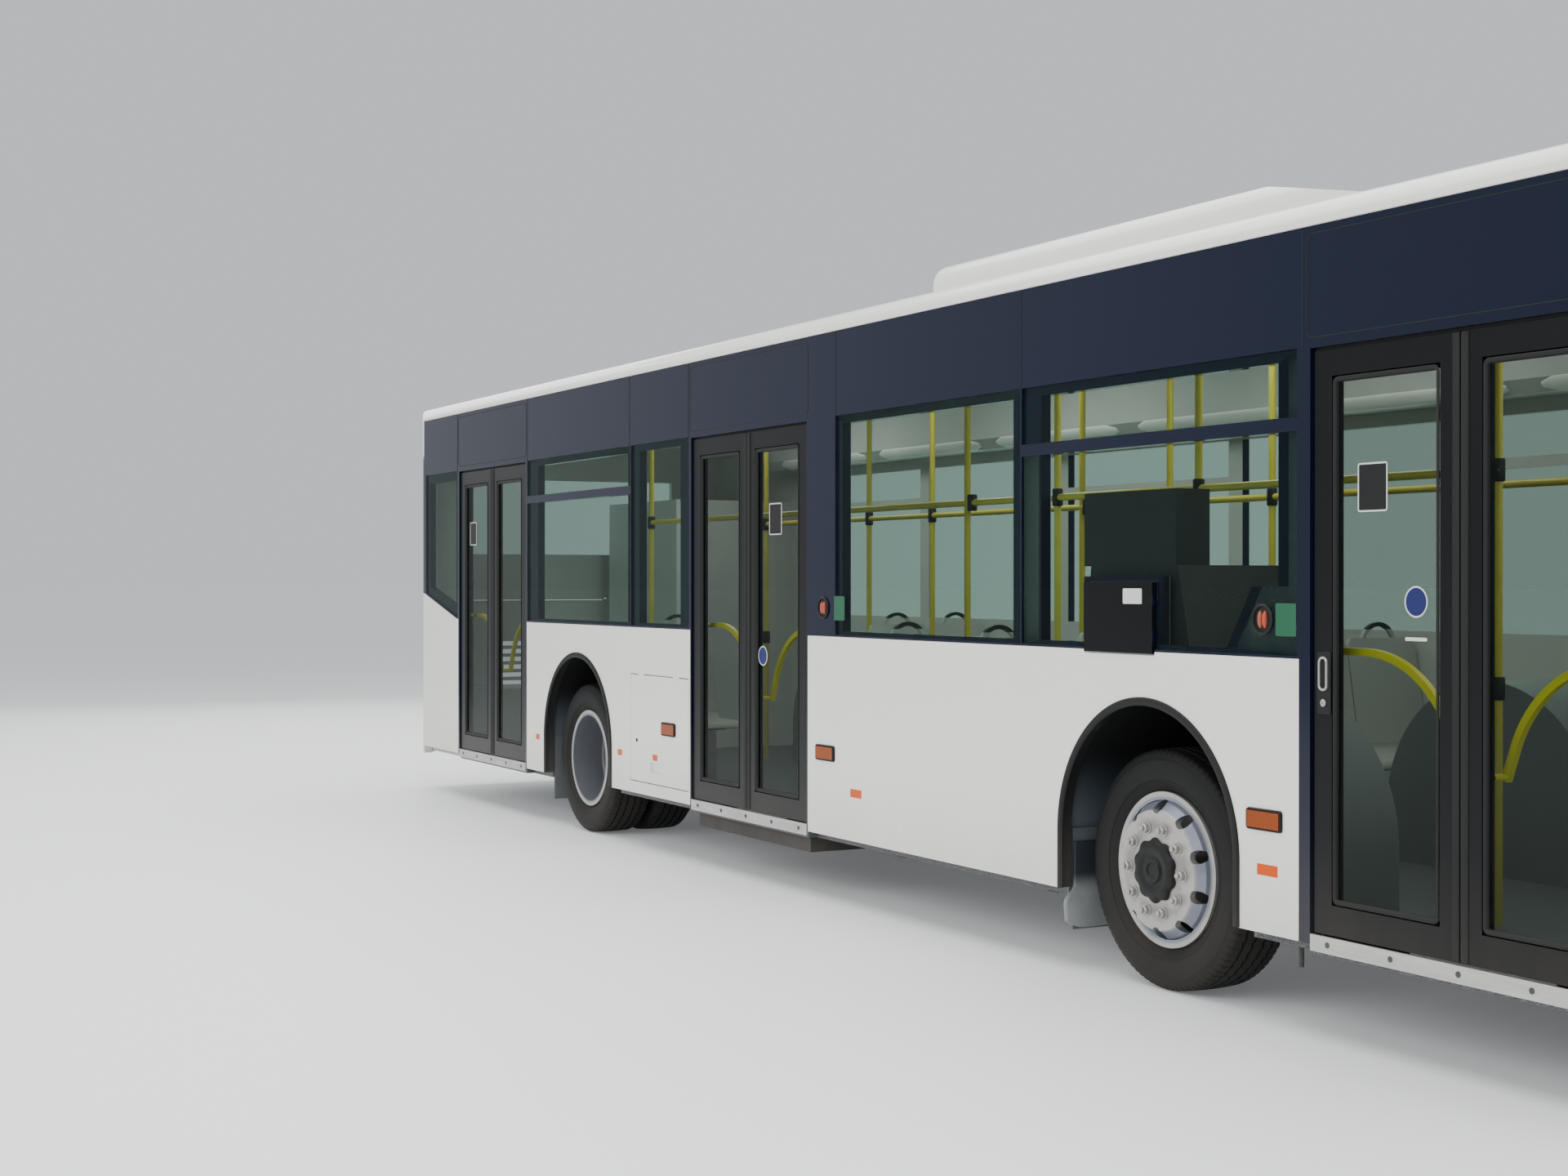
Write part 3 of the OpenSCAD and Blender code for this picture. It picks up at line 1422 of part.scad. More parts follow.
// Fuel flap over the filler, in the lower part of the first window.
FUEL = [front_axle_x - 380, front_axle_x + 63, 1309, 1584];
fuel_proud = 8;
fuel_t = fuel_proud + pane_t - seat_fit;
fuel_frame = 24;
module fuel_2d(grow) {
  translate([FUEL[0] - grow, FUEL[2] - grow])
    square([FUEL[1] - FUEL[0] + 2 * grow, FUEL[3] - FUEL[2] + 2 * grow]);
}
module fuel_recess() {
  on_side(RIGHT, side_y - pane_t, side_y + 1) fuel_2d(move_gap);
}
fuel_axis = [FUEL[1] + move_gap / 2, side_y + fuel_proud + 1];
pivot_r = 2.7;
module fuel_hinge() {
  for (z = [FUEL[2] + 45, FUEL[3] - 90]) {
    translate([fuel_axis[0], -fuel_axis[1], z]) cylinder(45, pivot_r, pivot_r);
    span([fuel_axis[0] - 1.5, -fuel_axis[1], z], [fuel_axis[0] + 1.5, -side_y + pane_t + 1, z + 45]);
  }
}
module fuel_flap() {
  color(frame_grey) on_side(RIGHT, side_y + fuel_proud - fuel_t, side_y + fuel_proud) fuel_2d(0);
}

// Service flap in the white panel ahead of the rear wheels.
SERVICE = [jamb_x0(MIDDLE_DOOR) - 840, jamb_x0(MIDDLE_DOOR) - 25, 410, 1037];
// Rear edge, lower edge, length and height of the flap's square recess.
FLAP_RECESS = [SERVICE[0] + 291, 474, 127, 56];
service_t = 22;
module service_2d(grow) {
  translate([SERVICE[0] - grow, SERVICE[2] - grow])
    square([SERVICE[1] - SERVICE[0] + 2 * grow, SERVICE[3] - SERVICE[2] + 2 * grow]);
}
module service_flap_pocket() {
  on_side(RIGHT, side_y - service_t - seat_fit, side_y + 1) service_2d(move_gap);
}
module service_hinge() {
  z = SERVICE[3] + move_gap / 2;
  for (x = [SERVICE[0] + 120, SERVICE[1] - 200]) {
    translate([x, -side_y - 1, z]) rotate([0, 90, 0]) cylinder(80, pivot_r, pivot_r);
    span([x, -side_y - 1 - 1.5, z], [x + 80, -side_y + 8, z + move_gap]);
  }
}
module service_flap() {
  color(white) difference() {
    on_side(RIGHT, side_y - service_t, side_y) service_2d(0);
    on_side(RIGHT, side_y - service_t / 2, side_y + 1) translate([FLAP_RECESS[0], FLAP_RECESS[1]])
      square([FLAP_RECESS[2], FLAP_RECESS[3]]);
    marker_pockets(RIGHT, FLAP_MARKERS);
  }
}

// Mirrors on arms from the roof's front corners, within the bumper's reach.
mirror_x = front_x - 215;
mirror_y = side_y + 100;
arm_z = cant_z - 168;
mirror_z1 = arm_z - 330;
mirror_z0 = mirror_z1 - 420;
arm_r = 16;
module mirrors() {
  color(frame_grey) difference() {
    for (s = [-1, 1]) {
      translate([mirror_x, s * mirror_y, 0]) intersection() {
        translate([0, 0, mirror_z0]) cylinder(mirror_z1 - mirror_z0, 90, 90);
        span([-70, -95, mirror_z0 - 5], [70, 95, mirror_z1 + 5]);
      }
      bar([mirror_x - 85, s * (side_y - 100), arm_z + 70], [mirror_x, s * mirror_y, arm_z], arm_r);
      translate([mirror_x, s * mirror_y, arm_z]) sphere(arm_r + 3);
      translate([mirror_x, s * mirror_y, mirror_z1 - 20]) cylinder(arm_z - mirror_z1 + 20, arm_r, arm_r);
    }
    raked_front(-seat_fit);
  }
}

side_wall_right();
side_wall_left();
window_band_right();
window_band_left();
front_panel();
rear_panel();
end_frames();
windscreen();
saloon_glass();
roof();
roof_unit();
floor_node();  // floor
wheel_houses();
underframe();
engine();
engine_tower();
axles();
door_sills();
ceiling_ducts();
grab_rails();
seats();
driver_seat();
dashboard();
cab_partition();
headlamps();
tail_lamps();
marker_lamps();
mirrors();
engine_lid();
fuel_flap();
service_flap();
flap_lamps();
knuckle(LEFT);  // knuckle_left
knuckle(RIGHT);  // knuckle_right
for (w = [["left", LEFT], ["right", RIGHT]]) {
  color(alloy) at_wheel(front_axle_x, front_wheel_y, w[1]) front_rim();
  color(tyre_black) at_wheel(front_axle_x, front_wheel_y, w[1]) tyre();
  color(alloy) at_wheel(rear_axle_x, rear_outer_y, w[1]) rear_rims();
  color(tyre_black) for (y = [rear_outer_y, rear_outer_y - twin_pitch])
      at_wheel(rear_axle_x, y, w[1]) tyre();
}
for (d = [["front", FRONT_DOOR], ["middle", MIDDLE_DOOR], ["rear", REAR_DOOR]])
  for (h = [["a", 1], ["b", -1]]) {
    at_post(d[1], h[1]) door_post();
    at_post(d[1], h[1]) door_leaf();
    at_post(d[1], h[1]) door_glass();
  }
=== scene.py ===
# %% [markdown]
# # An airport passenger bus, dressed for its portrait
#
# The bus arrives as solids from its construction file: panels, glass, doors on their posts,
# wheels on their axles. Their shapes and places are fixed. This notebook gives every surface a
# finish, and adds what is too fine for a construction model: tyre tread, wheel nuts, rubber
# seals, screws, lamp reflectors and upholstery.
#
# Lengths are in metres. X points to the front of the bus, Y to its left side, Z up.

# %% Load the fixed frame
import math

import bmesh
import bpy
import numpy as np
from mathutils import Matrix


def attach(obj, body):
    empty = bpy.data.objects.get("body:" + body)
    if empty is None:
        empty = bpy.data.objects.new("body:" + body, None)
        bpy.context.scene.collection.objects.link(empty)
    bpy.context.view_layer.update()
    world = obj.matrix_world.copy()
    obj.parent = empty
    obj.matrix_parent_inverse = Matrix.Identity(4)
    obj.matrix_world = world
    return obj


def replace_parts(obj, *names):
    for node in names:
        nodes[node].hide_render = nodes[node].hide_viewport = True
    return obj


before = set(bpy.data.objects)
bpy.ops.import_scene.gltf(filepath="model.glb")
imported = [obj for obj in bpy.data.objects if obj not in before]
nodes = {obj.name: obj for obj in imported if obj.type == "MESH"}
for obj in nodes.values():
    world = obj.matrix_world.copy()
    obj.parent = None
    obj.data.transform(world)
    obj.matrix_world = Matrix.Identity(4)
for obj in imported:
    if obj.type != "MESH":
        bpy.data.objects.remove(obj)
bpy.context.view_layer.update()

# %% [markdown]
# ## Where the photographer stood
#
# The lines of the side panels meet at one point of the picture, and that fixes which way the
# camera looks. The places of the wheel arches, doors and windows along the bus then fix how far
# away it stands. The lens follows from the focal length in pixels. The picture was taken from
# eye height, ahead of the bus and out from its door side, with the camera all but level.

# %% Camera
PICTURE_W, PICTURE_H = 1920, 1440
FOCAL_PX = 2565.0
HORIZON_ROW = 713.0
VANISHING_COLUMN = -373.0
CAMERA_AT = (9.792, -6.225, 1.584)
SENSOR_MM = 36.0

turn = math.atan((PICTURE_W / 2 - VANISHING_COLUMN) / FOCAL_PX)
dip = math.atan((PICTURE_H / 2 - HORIZON_ROW) / FOCAL_PX)
lens = bpy.data.cameras.new("camera")
lens.sensor_width = SENSOR_MM
lens.lens = FOCAL_PX / PICTURE_W * SENSOR_MM
lens.clip_end = 900
camera = bpy.data.objects.new("camera", lens)
camera.location = CAMERA_AT
camera.rotation_euler = (math.pi / 2 - dip, 0, math.pi / 2 - turn)
bpy.context.scene.collection.objects.link(camera)
bpy.context.scene.camera = camera
print("lens of", round(lens.lens, 2), "mm, turned", round(math.degrees(turn), 2), "degrees")

# %% [markdown]
# ## Studio
#
# Glossy paint shows its surroundings more than its own colour, so the lamps are large soft
# panels: a wide one overhead like a pale sky, one along the door side, and weaker ones at the
# ends and the far side that keep the shadows open. Four small panels under the roof light the
# saloon, as daylight through the far windows does in the open.

# %% Floor, sky and lamps
GROUND_HALF = 400.0
SALOON_LAMPS_X, SALOON_LAMPS_Z = (-3.0, -0.2, 2.4, 4.9), 2.88


def lamp(name, at, towards, size, power, colour=(1.0, 1.0, 1.0)):
    """A rectangular area lamp of size (wide, high) that faces the point towards."""
    light = bpy.data.lights.new(name, "AREA")
    light.shape = "RECTANGLE"
    light.size, light.size_y = size
    light.energy, light.color = power, colour
    ob = bpy.data.objects.new(name, light)
    ob.location = at
    x, y, z = np.subtract(towards, at)
    ob.rotation_euler = (math.atan2(math.hypot(x, y), -z), 0, math.atan2(-x, y))
    bpy.context.scene.collection.objects.link(ob)


lamp("sky_panel", (0, 0, 11), (0, 0, 0), (22, 14), 2600)
lamp("door_side_panel", (3, -13, 7), (0, -1, 1), (18, 6), 1100)
lamp("far_side_panel", (-2, 13, 7), (0, 1, 1), (18, 6), 700)
lamp("front_panel", (16, 2, 6), (5, 0, 1.4), (8, 6), 450)
lamp("rear_panel_lamp", (-16, 0, 6), (-5, 0, 1.4), (8, 6), 350)
for place_x in SALOON_LAMPS_X:
    lamp(f"saloon_lamp_{place_x:.0f}", (place_x, 0.1, SALOON_LAMPS_Z), (place_x, 0.1, 0),
         (1.6, 0.7), 22, (1.0, 0.99, 0.95))

world = bpy.data.worlds.new("pale_studio")
bpy.context.scene.world = world
world.use_nodes = True
sky = world.node_tree.nodes["Background"].inputs
sky["Color"].default_value = (0.84, 0.87, 0.90, 1)
sky["Strength"].default_value = 0.8

ground = bpy.data.meshes.new("studio_floor")
ground.from_pydata(
    [(-GROUND_HALF, -GROUND_HALF, 0), (GROUND_HALF, -GROUND_HALF, 0),
     (GROUND_HALF, GROUND_HALF, 0), (-GROUND_HALF, GROUND_HALF, 0)], [], [(0, 1, 2, 3)]
)
studio_floor = bpy.data.objects.new("studio_floor", ground)
bpy.context.scene.collection.objects.link(studio_floor)
floor_paint = bpy.data.materials.new("studio_floor")
floor_paint.use_nodes = True
floor_look = floor_paint.node_tree.nodes["Principled BSDF"].inputs
floor_look["Base Color"].default_value = (0.82, 0.82, 0.81, 1)
floor_look["Roughness"].default_value = 0.6
floor_look["Emission Color"].default_value = (0.93, 0.96, 1, 1)
floor_look["Emission Strength"].default_value = 0.12
ground.materials.append(floor_paint)

# %% [markdown]
# ## A small language for finishes
#
# A finish is a network of shader nodes. Written node by node it is long and hard to read, so one
# small class wraps an output socket and lets Python's own operators add the Math nodes:
# `1 - mask * 0.5` reads as what it does. Every other node comes from the method `node`.


# %% Shader expressions
class Wire:
    """An output socket of a material's node tree, which can be used in expressions."""

    def __init__(self, tree, socket):
        self.tree, self.socket = tree, socket

    def node(self, kind, settings=None, output=0, **sockets):
        """Adds a node of that kind to this wire's tree, sets it up and returns its output.

        settings are the node's own attributes, set first; stops fill a colour ramp. sockets
        are values or wires for its inputs, by name with _ for a space, or i0, i1 by number.
        """
        made = self.tree.nodes.new("ShaderNode" + kind)
        for key, value in (settings or {}).items():
            if key == "stops":
                ramp = made.color_ramp.elements
                while len(ramp) < len(value):
                    ramp.new(0.5)
                for stop, (place, colour) in zip(ramp, value):
                    stop.position, stop.color = place, (*colour, 1)
            else:
                setattr(made, key, value)
        for key, value in sockets.items():
            by_number = key[0] == "i" and key[1:].isdigit()
            target = made.inputs[int(key[1:]) if by_number else key.replace("_", " ")]
            if isinstance(value, Wire):
                self.tree.links.new(value.socket, target)
            else:
                target.default_value = value
        return Wire(self.tree, made.outputs[output])

    def math(self, operation, *values):
        sockets = {f"i{i}": v for i, v in enumerate(values)}
        return self.node("Math", {"operation": operation}, **sockets)

    def __add__(self, other):
        return self.math("ADD", self, other)

    def __radd__(self, other):
        return self.math("ADD", other, self)

    def __sub__(self, other):
        return self.math("SUBTRACT", self, other)

    def __rsub__(self, other):
        return self.math("SUBTRACT", other, self)

    def __mul__(self, other):
        return self.math("MULTIPLY", self, other)

    def __rmul__(self, other):
        return self.math("MULTIPLY", other, self)

    def __abs__(self):
        return self.math("ABSOLUTE", self)

    def high(self, other):
        return self.math("MAXIMUM", self, other)

    def above(self, limit):
        """1 where this value is greater than limit, and 0 elsewhere."""
        return self.math("GREATER_THAN", self, limit)

    def below(self, limit):
        """1 where this value is less than limit, and 0 elsewhere."""
        return self.math("LESS_THAN", self, limit)

    def step(self, start, end):
        """0 up to start, 1 from end, and a smooth rise between them; start may be the greater."""
        settings = {"interpolation_type": "SMOOTHSTEP"}
        if start < end:
            return self.node("MapRange", settings, i0=self, i1=start, i2=end)
        return 1 - self.node("MapRange", settings, i0=self, i1=end, i2=start)

    def mix(self, first, second):
        """The colour first where this mask is 0 and second where it is 1."""
        colours = {
            f"i{6 + i}": c if isinstance(c, Wire) else (*c, 1)
            for i, c in enumerate((first, second))
        }
        return self.node("Mix", {"data_type": "RGBA"}, 2, i0=self, **colours)

    def axis(self, name):
        """The X, Y or Z part of a vector wire."""
        return self.node("SeparateXYZ", output="XYZ".index(name), Vector=self)

    def noise(self, scale, detail=3.0, rough=0.55, stretch=(1.0, 1.0, 1.0)):
        """Cloudy noise from 0 to 1, from a vector wire in metres; scale is in lumps per metre."""
        drawn = self.node("Mapping", Vector=self, Scale=stretch)
        return self.node("TexNoise", Vector=drawn, Scale=scale, Detail=detail, Roughness=rough)

    def bands(self, direction, scale, distortion=0.0):
        """Soft bands from 0 to 1 that follow one another along X, Y or Z."""
        return self.node("TexWave", {"bands_direction": direction}, 1, Vector=self, Scale=scale,
                         Distortion=distortion)

    def bump(self, height, strength, distance, **under):
        """A normal that rises and falls by height times distance in metres, over another one."""
        return self.node("Bump", Strength=strength, Distance=distance, Height=height, **under)


def finish(name):
    """A new material. Returns it with its shader and a wire of the piece's own place in metres."""
    material = bpy.data.materials.new(name)
    material.use_nodes = True
    shader = material.node_tree.nodes["Principled BSDF"]
    place = material.node_tree.nodes.new("ShaderNodeTexCoord")
    return material, shader, Wire(material.node_tree, place.outputs["Object"])


def feed(shader, **sockets):
    """Sets the shader's sockets, by name with _ for a space, to values or wires."""
    for key, value in sockets.items():
        target = shader.inputs[key.replace("_", " ")]
        if isinstance(value, Wire):
            value.tree.links.new(value.socket, target)
        else:
            target.default_value = (*value, 1) if isinstance(value, tuple) else value


# %% [markdown]
# ## Finishes that follow the wheels
#
# Several finishes change round a wheel: the silver of a rim, the black edge of an arch, the liner
# inside it. Rather than cut the meshes up, each of them asks how far a point is from the axle.

# %% The wheels' places
FRONT_X, REAR_X, WHEEL_Z, ARCH_Z, ARCH_R = 3.270, -2.575, 0.470, 0.574, 0.558
NUTS, NUT_CIRCLE = 10, 0.1675
BOLT_FACE_R, RIM_EDGE_R, ARCH_EDGE = 0.236, 0.288, 0.004


def from_axle(place, middle_z, flat=False):
    """1 at the front axle and 0 at the rear one, and how far a point is from that axle's line.

    The distance is sqrt(dx dx + dz dz). With flat, a point below middle_z counts as level with
    it, which gives the outline of a wheel arch.
    """
    along, rise = place.axis("X"), place.axis("Z") - middle_z
    front = along.above(0.5)
    back = along - (front * (FRONT_X - REAR_X) + REAR_X)
    rise = rise.high(0.0) if flat else rise
    squares = back * back + rise * rise
    return front, squares.math("SQRT", squares)


# %% [markdown]
# ## Body paint
#
# Bus panels are large flat sheets, bonded and painted by hand. Three things keep such a panel
# from looking like plastic: very long, shallow waves that bend the reflections, the fine orange
# peel of sprayed lacquer, and the film of road dust that thickens towards the skirts.

# %% Painted panels
DUST = (0.24, 0.21, 0.175)


def road_dust(place, top, strength):
    """A mask that is strength at the ground and fades to 0 at height top, broken up by noise."""
    cloud = place.noise(2.2, 5.0, 0.6, (0.5, 1.0, 1.6))
    streak = place.noise(9.0, 3.0, 0.5, (1.0, 1.0, 0.12))
    return place.axis("Z").step(top, 0.15) * (cloud * 0.7 + streak * 0.5) * strength


def painted(name, colour, gloss, dust_top, dust_amount, waves, coat=0.5, mirror=0.5, inside=None):
    """Lacquered sheet: waves is the height in metres of the long waves in the panel.

    mirror is the shader's specular level. inside, if given, is the colour of the lining on the
    inner face of a side wall, whose edge round a wheel arch is then black.
    """
    material, shader, place = finish(name)
    dust = road_dust(place, dust_top, dust_amount)
    shade = place.noise(0.6, 2.0).mix(tuple(c * 0.975 for c in colour), colour)
    sheet = place.bump(place.noise(0.9, 1.0, 0.4), 1.0, waves)
    relief = place.bump(place.noise(260.0, 1.0), 0.25, 0.00006, Normal=sheet)
    surface = gloss + dust * 0.5
    if inside:
        lining = abs(place.axis("Y")).below(LINING_Y)
        shade, surface = lining.mix(shade, inside), surface + lining * 0.35
        cut = from_axle(place, ARCH_Z, flat=True)[1].below(ARCH_R + ARCH_EDGE)
        shade, surface = cut.mix(shade, CUT_EDGE), surface + cut * 0.3
    feed(shader, Base_Color=dust.mix(shade, DUST), Roughness=surface, Normal=relief,
         Specular_IOR_Level=mirror, Coat_Weight=coat, Coat_Roughness=0.05)
    return material


LINING_Y = 1.2165
CUT_EDGE = (0.008, 0.008, 0.009)
LINING = (0.46, 0.47, 0.45)
WHITE = (0.80, 0.785, 0.74)
# Black lacquer with a navy tint in its colour: the blue is a painted reflection of the sky.
BLACK_WITH_PAINTED_SKY = (0.0050, 0.0080, 0.0215)
FRAME_BLACK = (0.004, 0.0045, 0.0055)
white_paint = painted("white_panel_lacquer", WHITE, 0.22, 0.8, 0.4, 0.004, inside=LINING)
roof_white = painted("white_roof_lacquer", WHITE, 0.3, 0.2, 0.1, 0.004)
band_black = painted("black_band_lacquer", BLACK_WITH_PAINTED_SKY, 0.08, 0.9, 0.2, 0.0018, 0.0, 0.22, LINING)
door_black = painted("door_frame_lacquer", FRAME_BLACK, 0.3, 0.8, 0.2, 0.001, 0.0, 0.1)
chassis_black = painted("chassis_paint", (0.012, 0.012, 0.013), 0.6, 0.9, 0.3, 0.001, 0.0, 0.3)

# %% [markdown]
# ## Glass
#
# A window pane here is a closed slab, so a view through one side of the bus crosses four
# surfaces. Real tinted glass shows the saloon dimly from straight ahead and turns to a mirror
# when seen from a low angle. A Mix Shader does that: its factor rises from a see-through shader
# that dims what is behind it to a glossy one. The rise is the fifth power of how far the surface
# turns away from the eye, which is the same on a slab's near and far face. A Fresnel node is not:
# it shuts the far face off at half angles, because it takes it for the inside of solid glass.


# %% Tinted and clear glass
def glass(name, tint, body, least, most):
    """See-through glass: each surface passes tint, and shows the colour body least to most."""
    material, shader, place = finish(name)
    tree = material.node_tree
    away = place.node("LayerWeight", None, 1, Blend=0.5)
    film = away.math("POWER", away, 5.0) * (most - least) + least
    through = tree.nodes.new("ShaderNodeBsdfTransparent")
    through.inputs["Color"].default_value = (*tint, 1)
    smear = place.noise(3.0, 3.0, 0.6)
    feed(shader, Base_Color=body, Roughness=0.015 + smear * 0.03)
    both = tree.nodes.new("ShaderNodeMixShader")
    tree.links.new(film.socket, both.inputs["Fac"])
    tree.links.new(through.outputs["BSDF"], both.inputs[1])
    tree.links.new(shader.outputs["BSDF"], both.inputs[2])
    tree.links.new(both.outputs["Shader"], tree.nodes["Material Output"].inputs["Surface"])
    return material


saloon_tint = glass("saloon_glass_tinted", (0.80, 0.885, 0.85), (0.010, 0.015, 0.016), 0.07, 0.95)
door_tint = glass("door_glass_tinted", (0.70, 0.755, 0.725), (0.008, 0.011, 0.012), 0.10, 0.95)
screen_tint = glass("windscreen_clear", (0.90, 0.95, 0.93), (0.02, 0.025, 0.025), 0.03, 0.9)
lens_clear = glass("headlamp_lens", (0.95, 0.97, 0.98), (0.10, 0.11, 0.12), 0.05, 0.9)

# %% [markdown]
# ## Plastics, rubber, metal and flooring
#
# Each small part's finish is its colour and one pattern at the right scale: a moulded grain a
# fraction of a millimetre deep, the speckles of safety flooring, the fine blow marks of powder
# coat, the brushed lines of an aluminium sill.


# %% Moulded and coated parts
def moulded(name, colour, rough, grain=900.0, depth=0.00012, dust_top=0.0, dust_amount=0.0,
            metal=0.0, mirror=0.5):
    """Plastic, rubber or coated metal with a grain of that many lumps per metre."""
    material, shader, place = finish(name)
    cloud = place.noise(6.0, 3.0)
    shade = cloud.mix(tuple(c * 0.86 for c in colour), colour)
    relief = place.bump(place.noise(grain, 2.0), 0.6, depth)
    surface = rough + cloud * 0.08
    if dust_amount:
        dust = road_dust(place, dust_top, dust_amount)
        shade, surface = dust.mix(shade, DUST), surface + dust * 0.3
    feed(shader, Base_Color=shade, Roughness=surface, Normal=relief, Metallic=metal,
         Specular_IOR_Level=mirror)
    return material


rubber = moulded("black_rubber", (0.009, 0.009, 0.009), 0.55, 400.0, 0.0001, 0.7, 0.15,
                 mirror=0.25)
tyre_rubber = moulded("tyre_rubber", (0.006, 0.006, 0.0065), 0.62, 700.0, 0.0002, 0.8, 0.1,
                      mirror=0.25)
black_plastic = moulded("grained_black_plastic", (0.007, 0.007, 0.0075), 0.42, 1200.0, mirror=0.25)
interior_grey = moulded("interior_panel", (0.50, 0.51, 0.50), 0.45, 1500.0)
seat_shell_grey = moulded("seat_shell", (0.16, 0.18, 0.20), 0.4, 1500.0)
rail_yellow = moulded("yellow_powder_coat", (0.50, 0.42, 0.04), 0.3, 1800.0, 0.00005)
knob_red = moulded("red_knob", (0.38, 0.07, 0.025), 0.3)
label_white = moulded("white_label", (0.62, 0.62, 0.60), 0.4, 2500.0, 0.00002, mirror=0.3)
label_green = moulded("green_label", (0.012, 0.10, 0.045), 0.4, 2500.0, 0.00002, mirror=0.3)
label_blue = moulded("blue_disc", (0.007, 0.014, 0.11), 0.35, 2500.0, 0.00002, mirror=0.3)
steel_dark = moulded("greasy_steel", (0.03, 0.028, 0.026), 0.45, 500.0, 0.0003, 1.0, 0.6, 0.6)
zinc = moulded("zinc_plate", (0.46, 0.45, 0.43), 0.35, 600.0, 0.0001, 1.0, 0.25, 0.8)
chrome = moulded("lamp_reflector", (0.85, 0.85, 0.86), 0.12, 300.0, 0.0001, metal=1.0)


def rim_paint():
    """Silver wheel paint, warm on the bolt face, darker and bluish in the dish round it, where
    that colour is painted shade.

    The distance from the axle tells the bolt face, the dish and the edge apart. Brake dust lies
    in patches and round the nuts; the darkening in the deep dish of the rear wheels is painted
    shade.
    """
    material, shader, place = finish("rim_silver")
    front, radius = from_axle(place, WHEEL_Z)
    dish = radius.step(BOLT_FACE_R - 0.006, BOLT_FACE_R + 0.006)
    dish = dish * radius.step(RIM_EDGE_R, RIM_EDGE_R - 0.010)
    cloud = place.noise(9.0, 5.0, 0.65)
    ring = abs(radius - NUT_CIRCLE).step(0.055, 0.012) * cloud.step(0.35, 0.6) * 0.45
    # Painted shade: the deep dish of the rear wheels is darkened inside the rim's edge.
    deep = (1 - front) * radius.step(0.285, 0.262)
    # Brake dust in patches and round the nuts, joined with the painted shade of the rear dish.
    dust_and_shade = (cloud.step(0.46, 0.78) * 0.35).high(ring).high(deep * (0.55 + cloud * 0.4))
    # Painted shade: the dish is darker and bluer than the bolt face.
    shade = dish.mix((0.40, 0.39, 0.365), (0.22, 0.24, 0.29))
    shade = dust_and_shade.mix(shade, (0.085, 0.080, 0.078))
    feed(shader, Base_Color=shade, Metallic=0.55 - dust_and_shade * 0.4, Roughness=0.34 + dust_and_shade * 0.3)
    feed(shader, Normal=place.bump(place.noise(420.0, 2.0), 0.4, 0.0002))
    return material


def speckled_floor():
    """Safety flooring: dark grey vinyl with light and dark chips two millimetres wide."""
    material, shader, place = finish("speckled_vinyl")
    chips = place.node("TexVoronoi", {"feature": "F1"}, 1, Vector=place, Scale=420.0)
    kind = chips.axis("X")
    shade = kind.step(0.78, 0.82).mix((0.055, 0.058, 0.062), (0.20, 0.21, 0.22))
    shade = kind.step(0.16, 0.12).mix(shade, (0.015, 0.016, 0.018))
    feed(shader, Base_Color=shade, Roughness=0.45 + kind * 0.15)
    feed(shader, Normal=place.bump(place.noise(500.0, 2.0), 0.5, 0.0002))
    return material


def ribbed_aluminium():
    """Extruded sill: ribs two centimetres apart along the bus, dulled where feet have been."""
    material, shader, place = finish("ribbed_aluminium")
    scuffs = place.noise(30.0, 4.0, 0.6, (0.2, 1.0, 1.0))
    feed(shader, Base_Color=scuffs.mix((0.62, 0.62, 0.61), (0.42, 0.41, 0.39)),
         Roughness=0.32 + scuffs * 0.2, Normal=place.bump(place.bands("Z", 16.0), 0.5, 0.0008),
         Metallic=0.9)
    return material


def lamp_lens():
    """Side lamps: flutes show through the gloss. The long lamps, which sit higher, are browner."""
    material, shader, place = finish("amber_lens")
    flutes, long_lamp = place.bands("X", 50.0), place.axis("Z").above(LONG_LAMP_Z)
    shade = long_lamp.mix((0.72, 0.11, 0.006), (0.33, 0.070, 0.010))
    dark = long_lamp.mix((0.50, 0.06, 0.004), (0.16, 0.030, 0.006))
    feed(shader, Base_Color=flutes.mix(dark, shade), Roughness=0.16,
         Normal=place.bump(flutes, 0.35, 0.0006), Specular_IOR_Level=0.12)
    return material


LONG_LAMP_Z = 0.65
rim_silver = rim_paint()
floor_vinyl = speckled_floor()
sill_aluminium = ribbed_aluminium()
lens_amber = lamp_lens()

# %% [markdown]
# ## Two finishes on one piece
#
# The curved yellow grip is welded to its door leaf, and the tank housing stands on the wheel
# arch tub, so each pair is one solid with two finishes. The piece's own coordinates tell them
# apart: the grips lie inwards of the leaf, and the housing lies above the tub.


# %% Grips and housing by their place
def two_tone(name, second, second_rough, mask_of, base, base_rough, dusty=0.15):
    """A moulded finish in the colour base, and second where mask_of(place) is 1."""
    material, shader, place = finish(name)
    mask = mask_of(place)
    dust = road_dust(place, 0.8, dusty)
    feed(shader, Base_Color=mask.mix(dust.mix(base, DUST), second),
         Roughness=mask * (second_rough - base_rough) + base_rough + dust * 0.3,
         Normal=place.bump(place.noise(900.0, 2.0), 0.4, 0.0001), Specular_IOR_Level=0.15)
    return material


LEAF_INNER_Y, GRIP_Z = 1.2245, (0.6, 1.6)


def grip_mask(place):
    """The curved grips, inwards of the leaf and between two heights."""
    inwards, height = 1 - (-1 * place.axis("Y")).above(LEAF_INNER_Y), place.axis("Z")
    return inwards * height.above(GRIP_Z[0]) * height.below(GRIP_Z[1])


leaf_finish = two_tone("door_leaf_and_grip", (0.80, 0.66, 0.03), 0.3, grip_mask, FRAME_BLACK, 0.3)


TUB_SPLIT_R, TANK_R, TANK_Y = 0.583, 0.5925, 0.618
FRONT_HOUSE_Y, REAR_HOUSE_Y = 0.537, 0.587


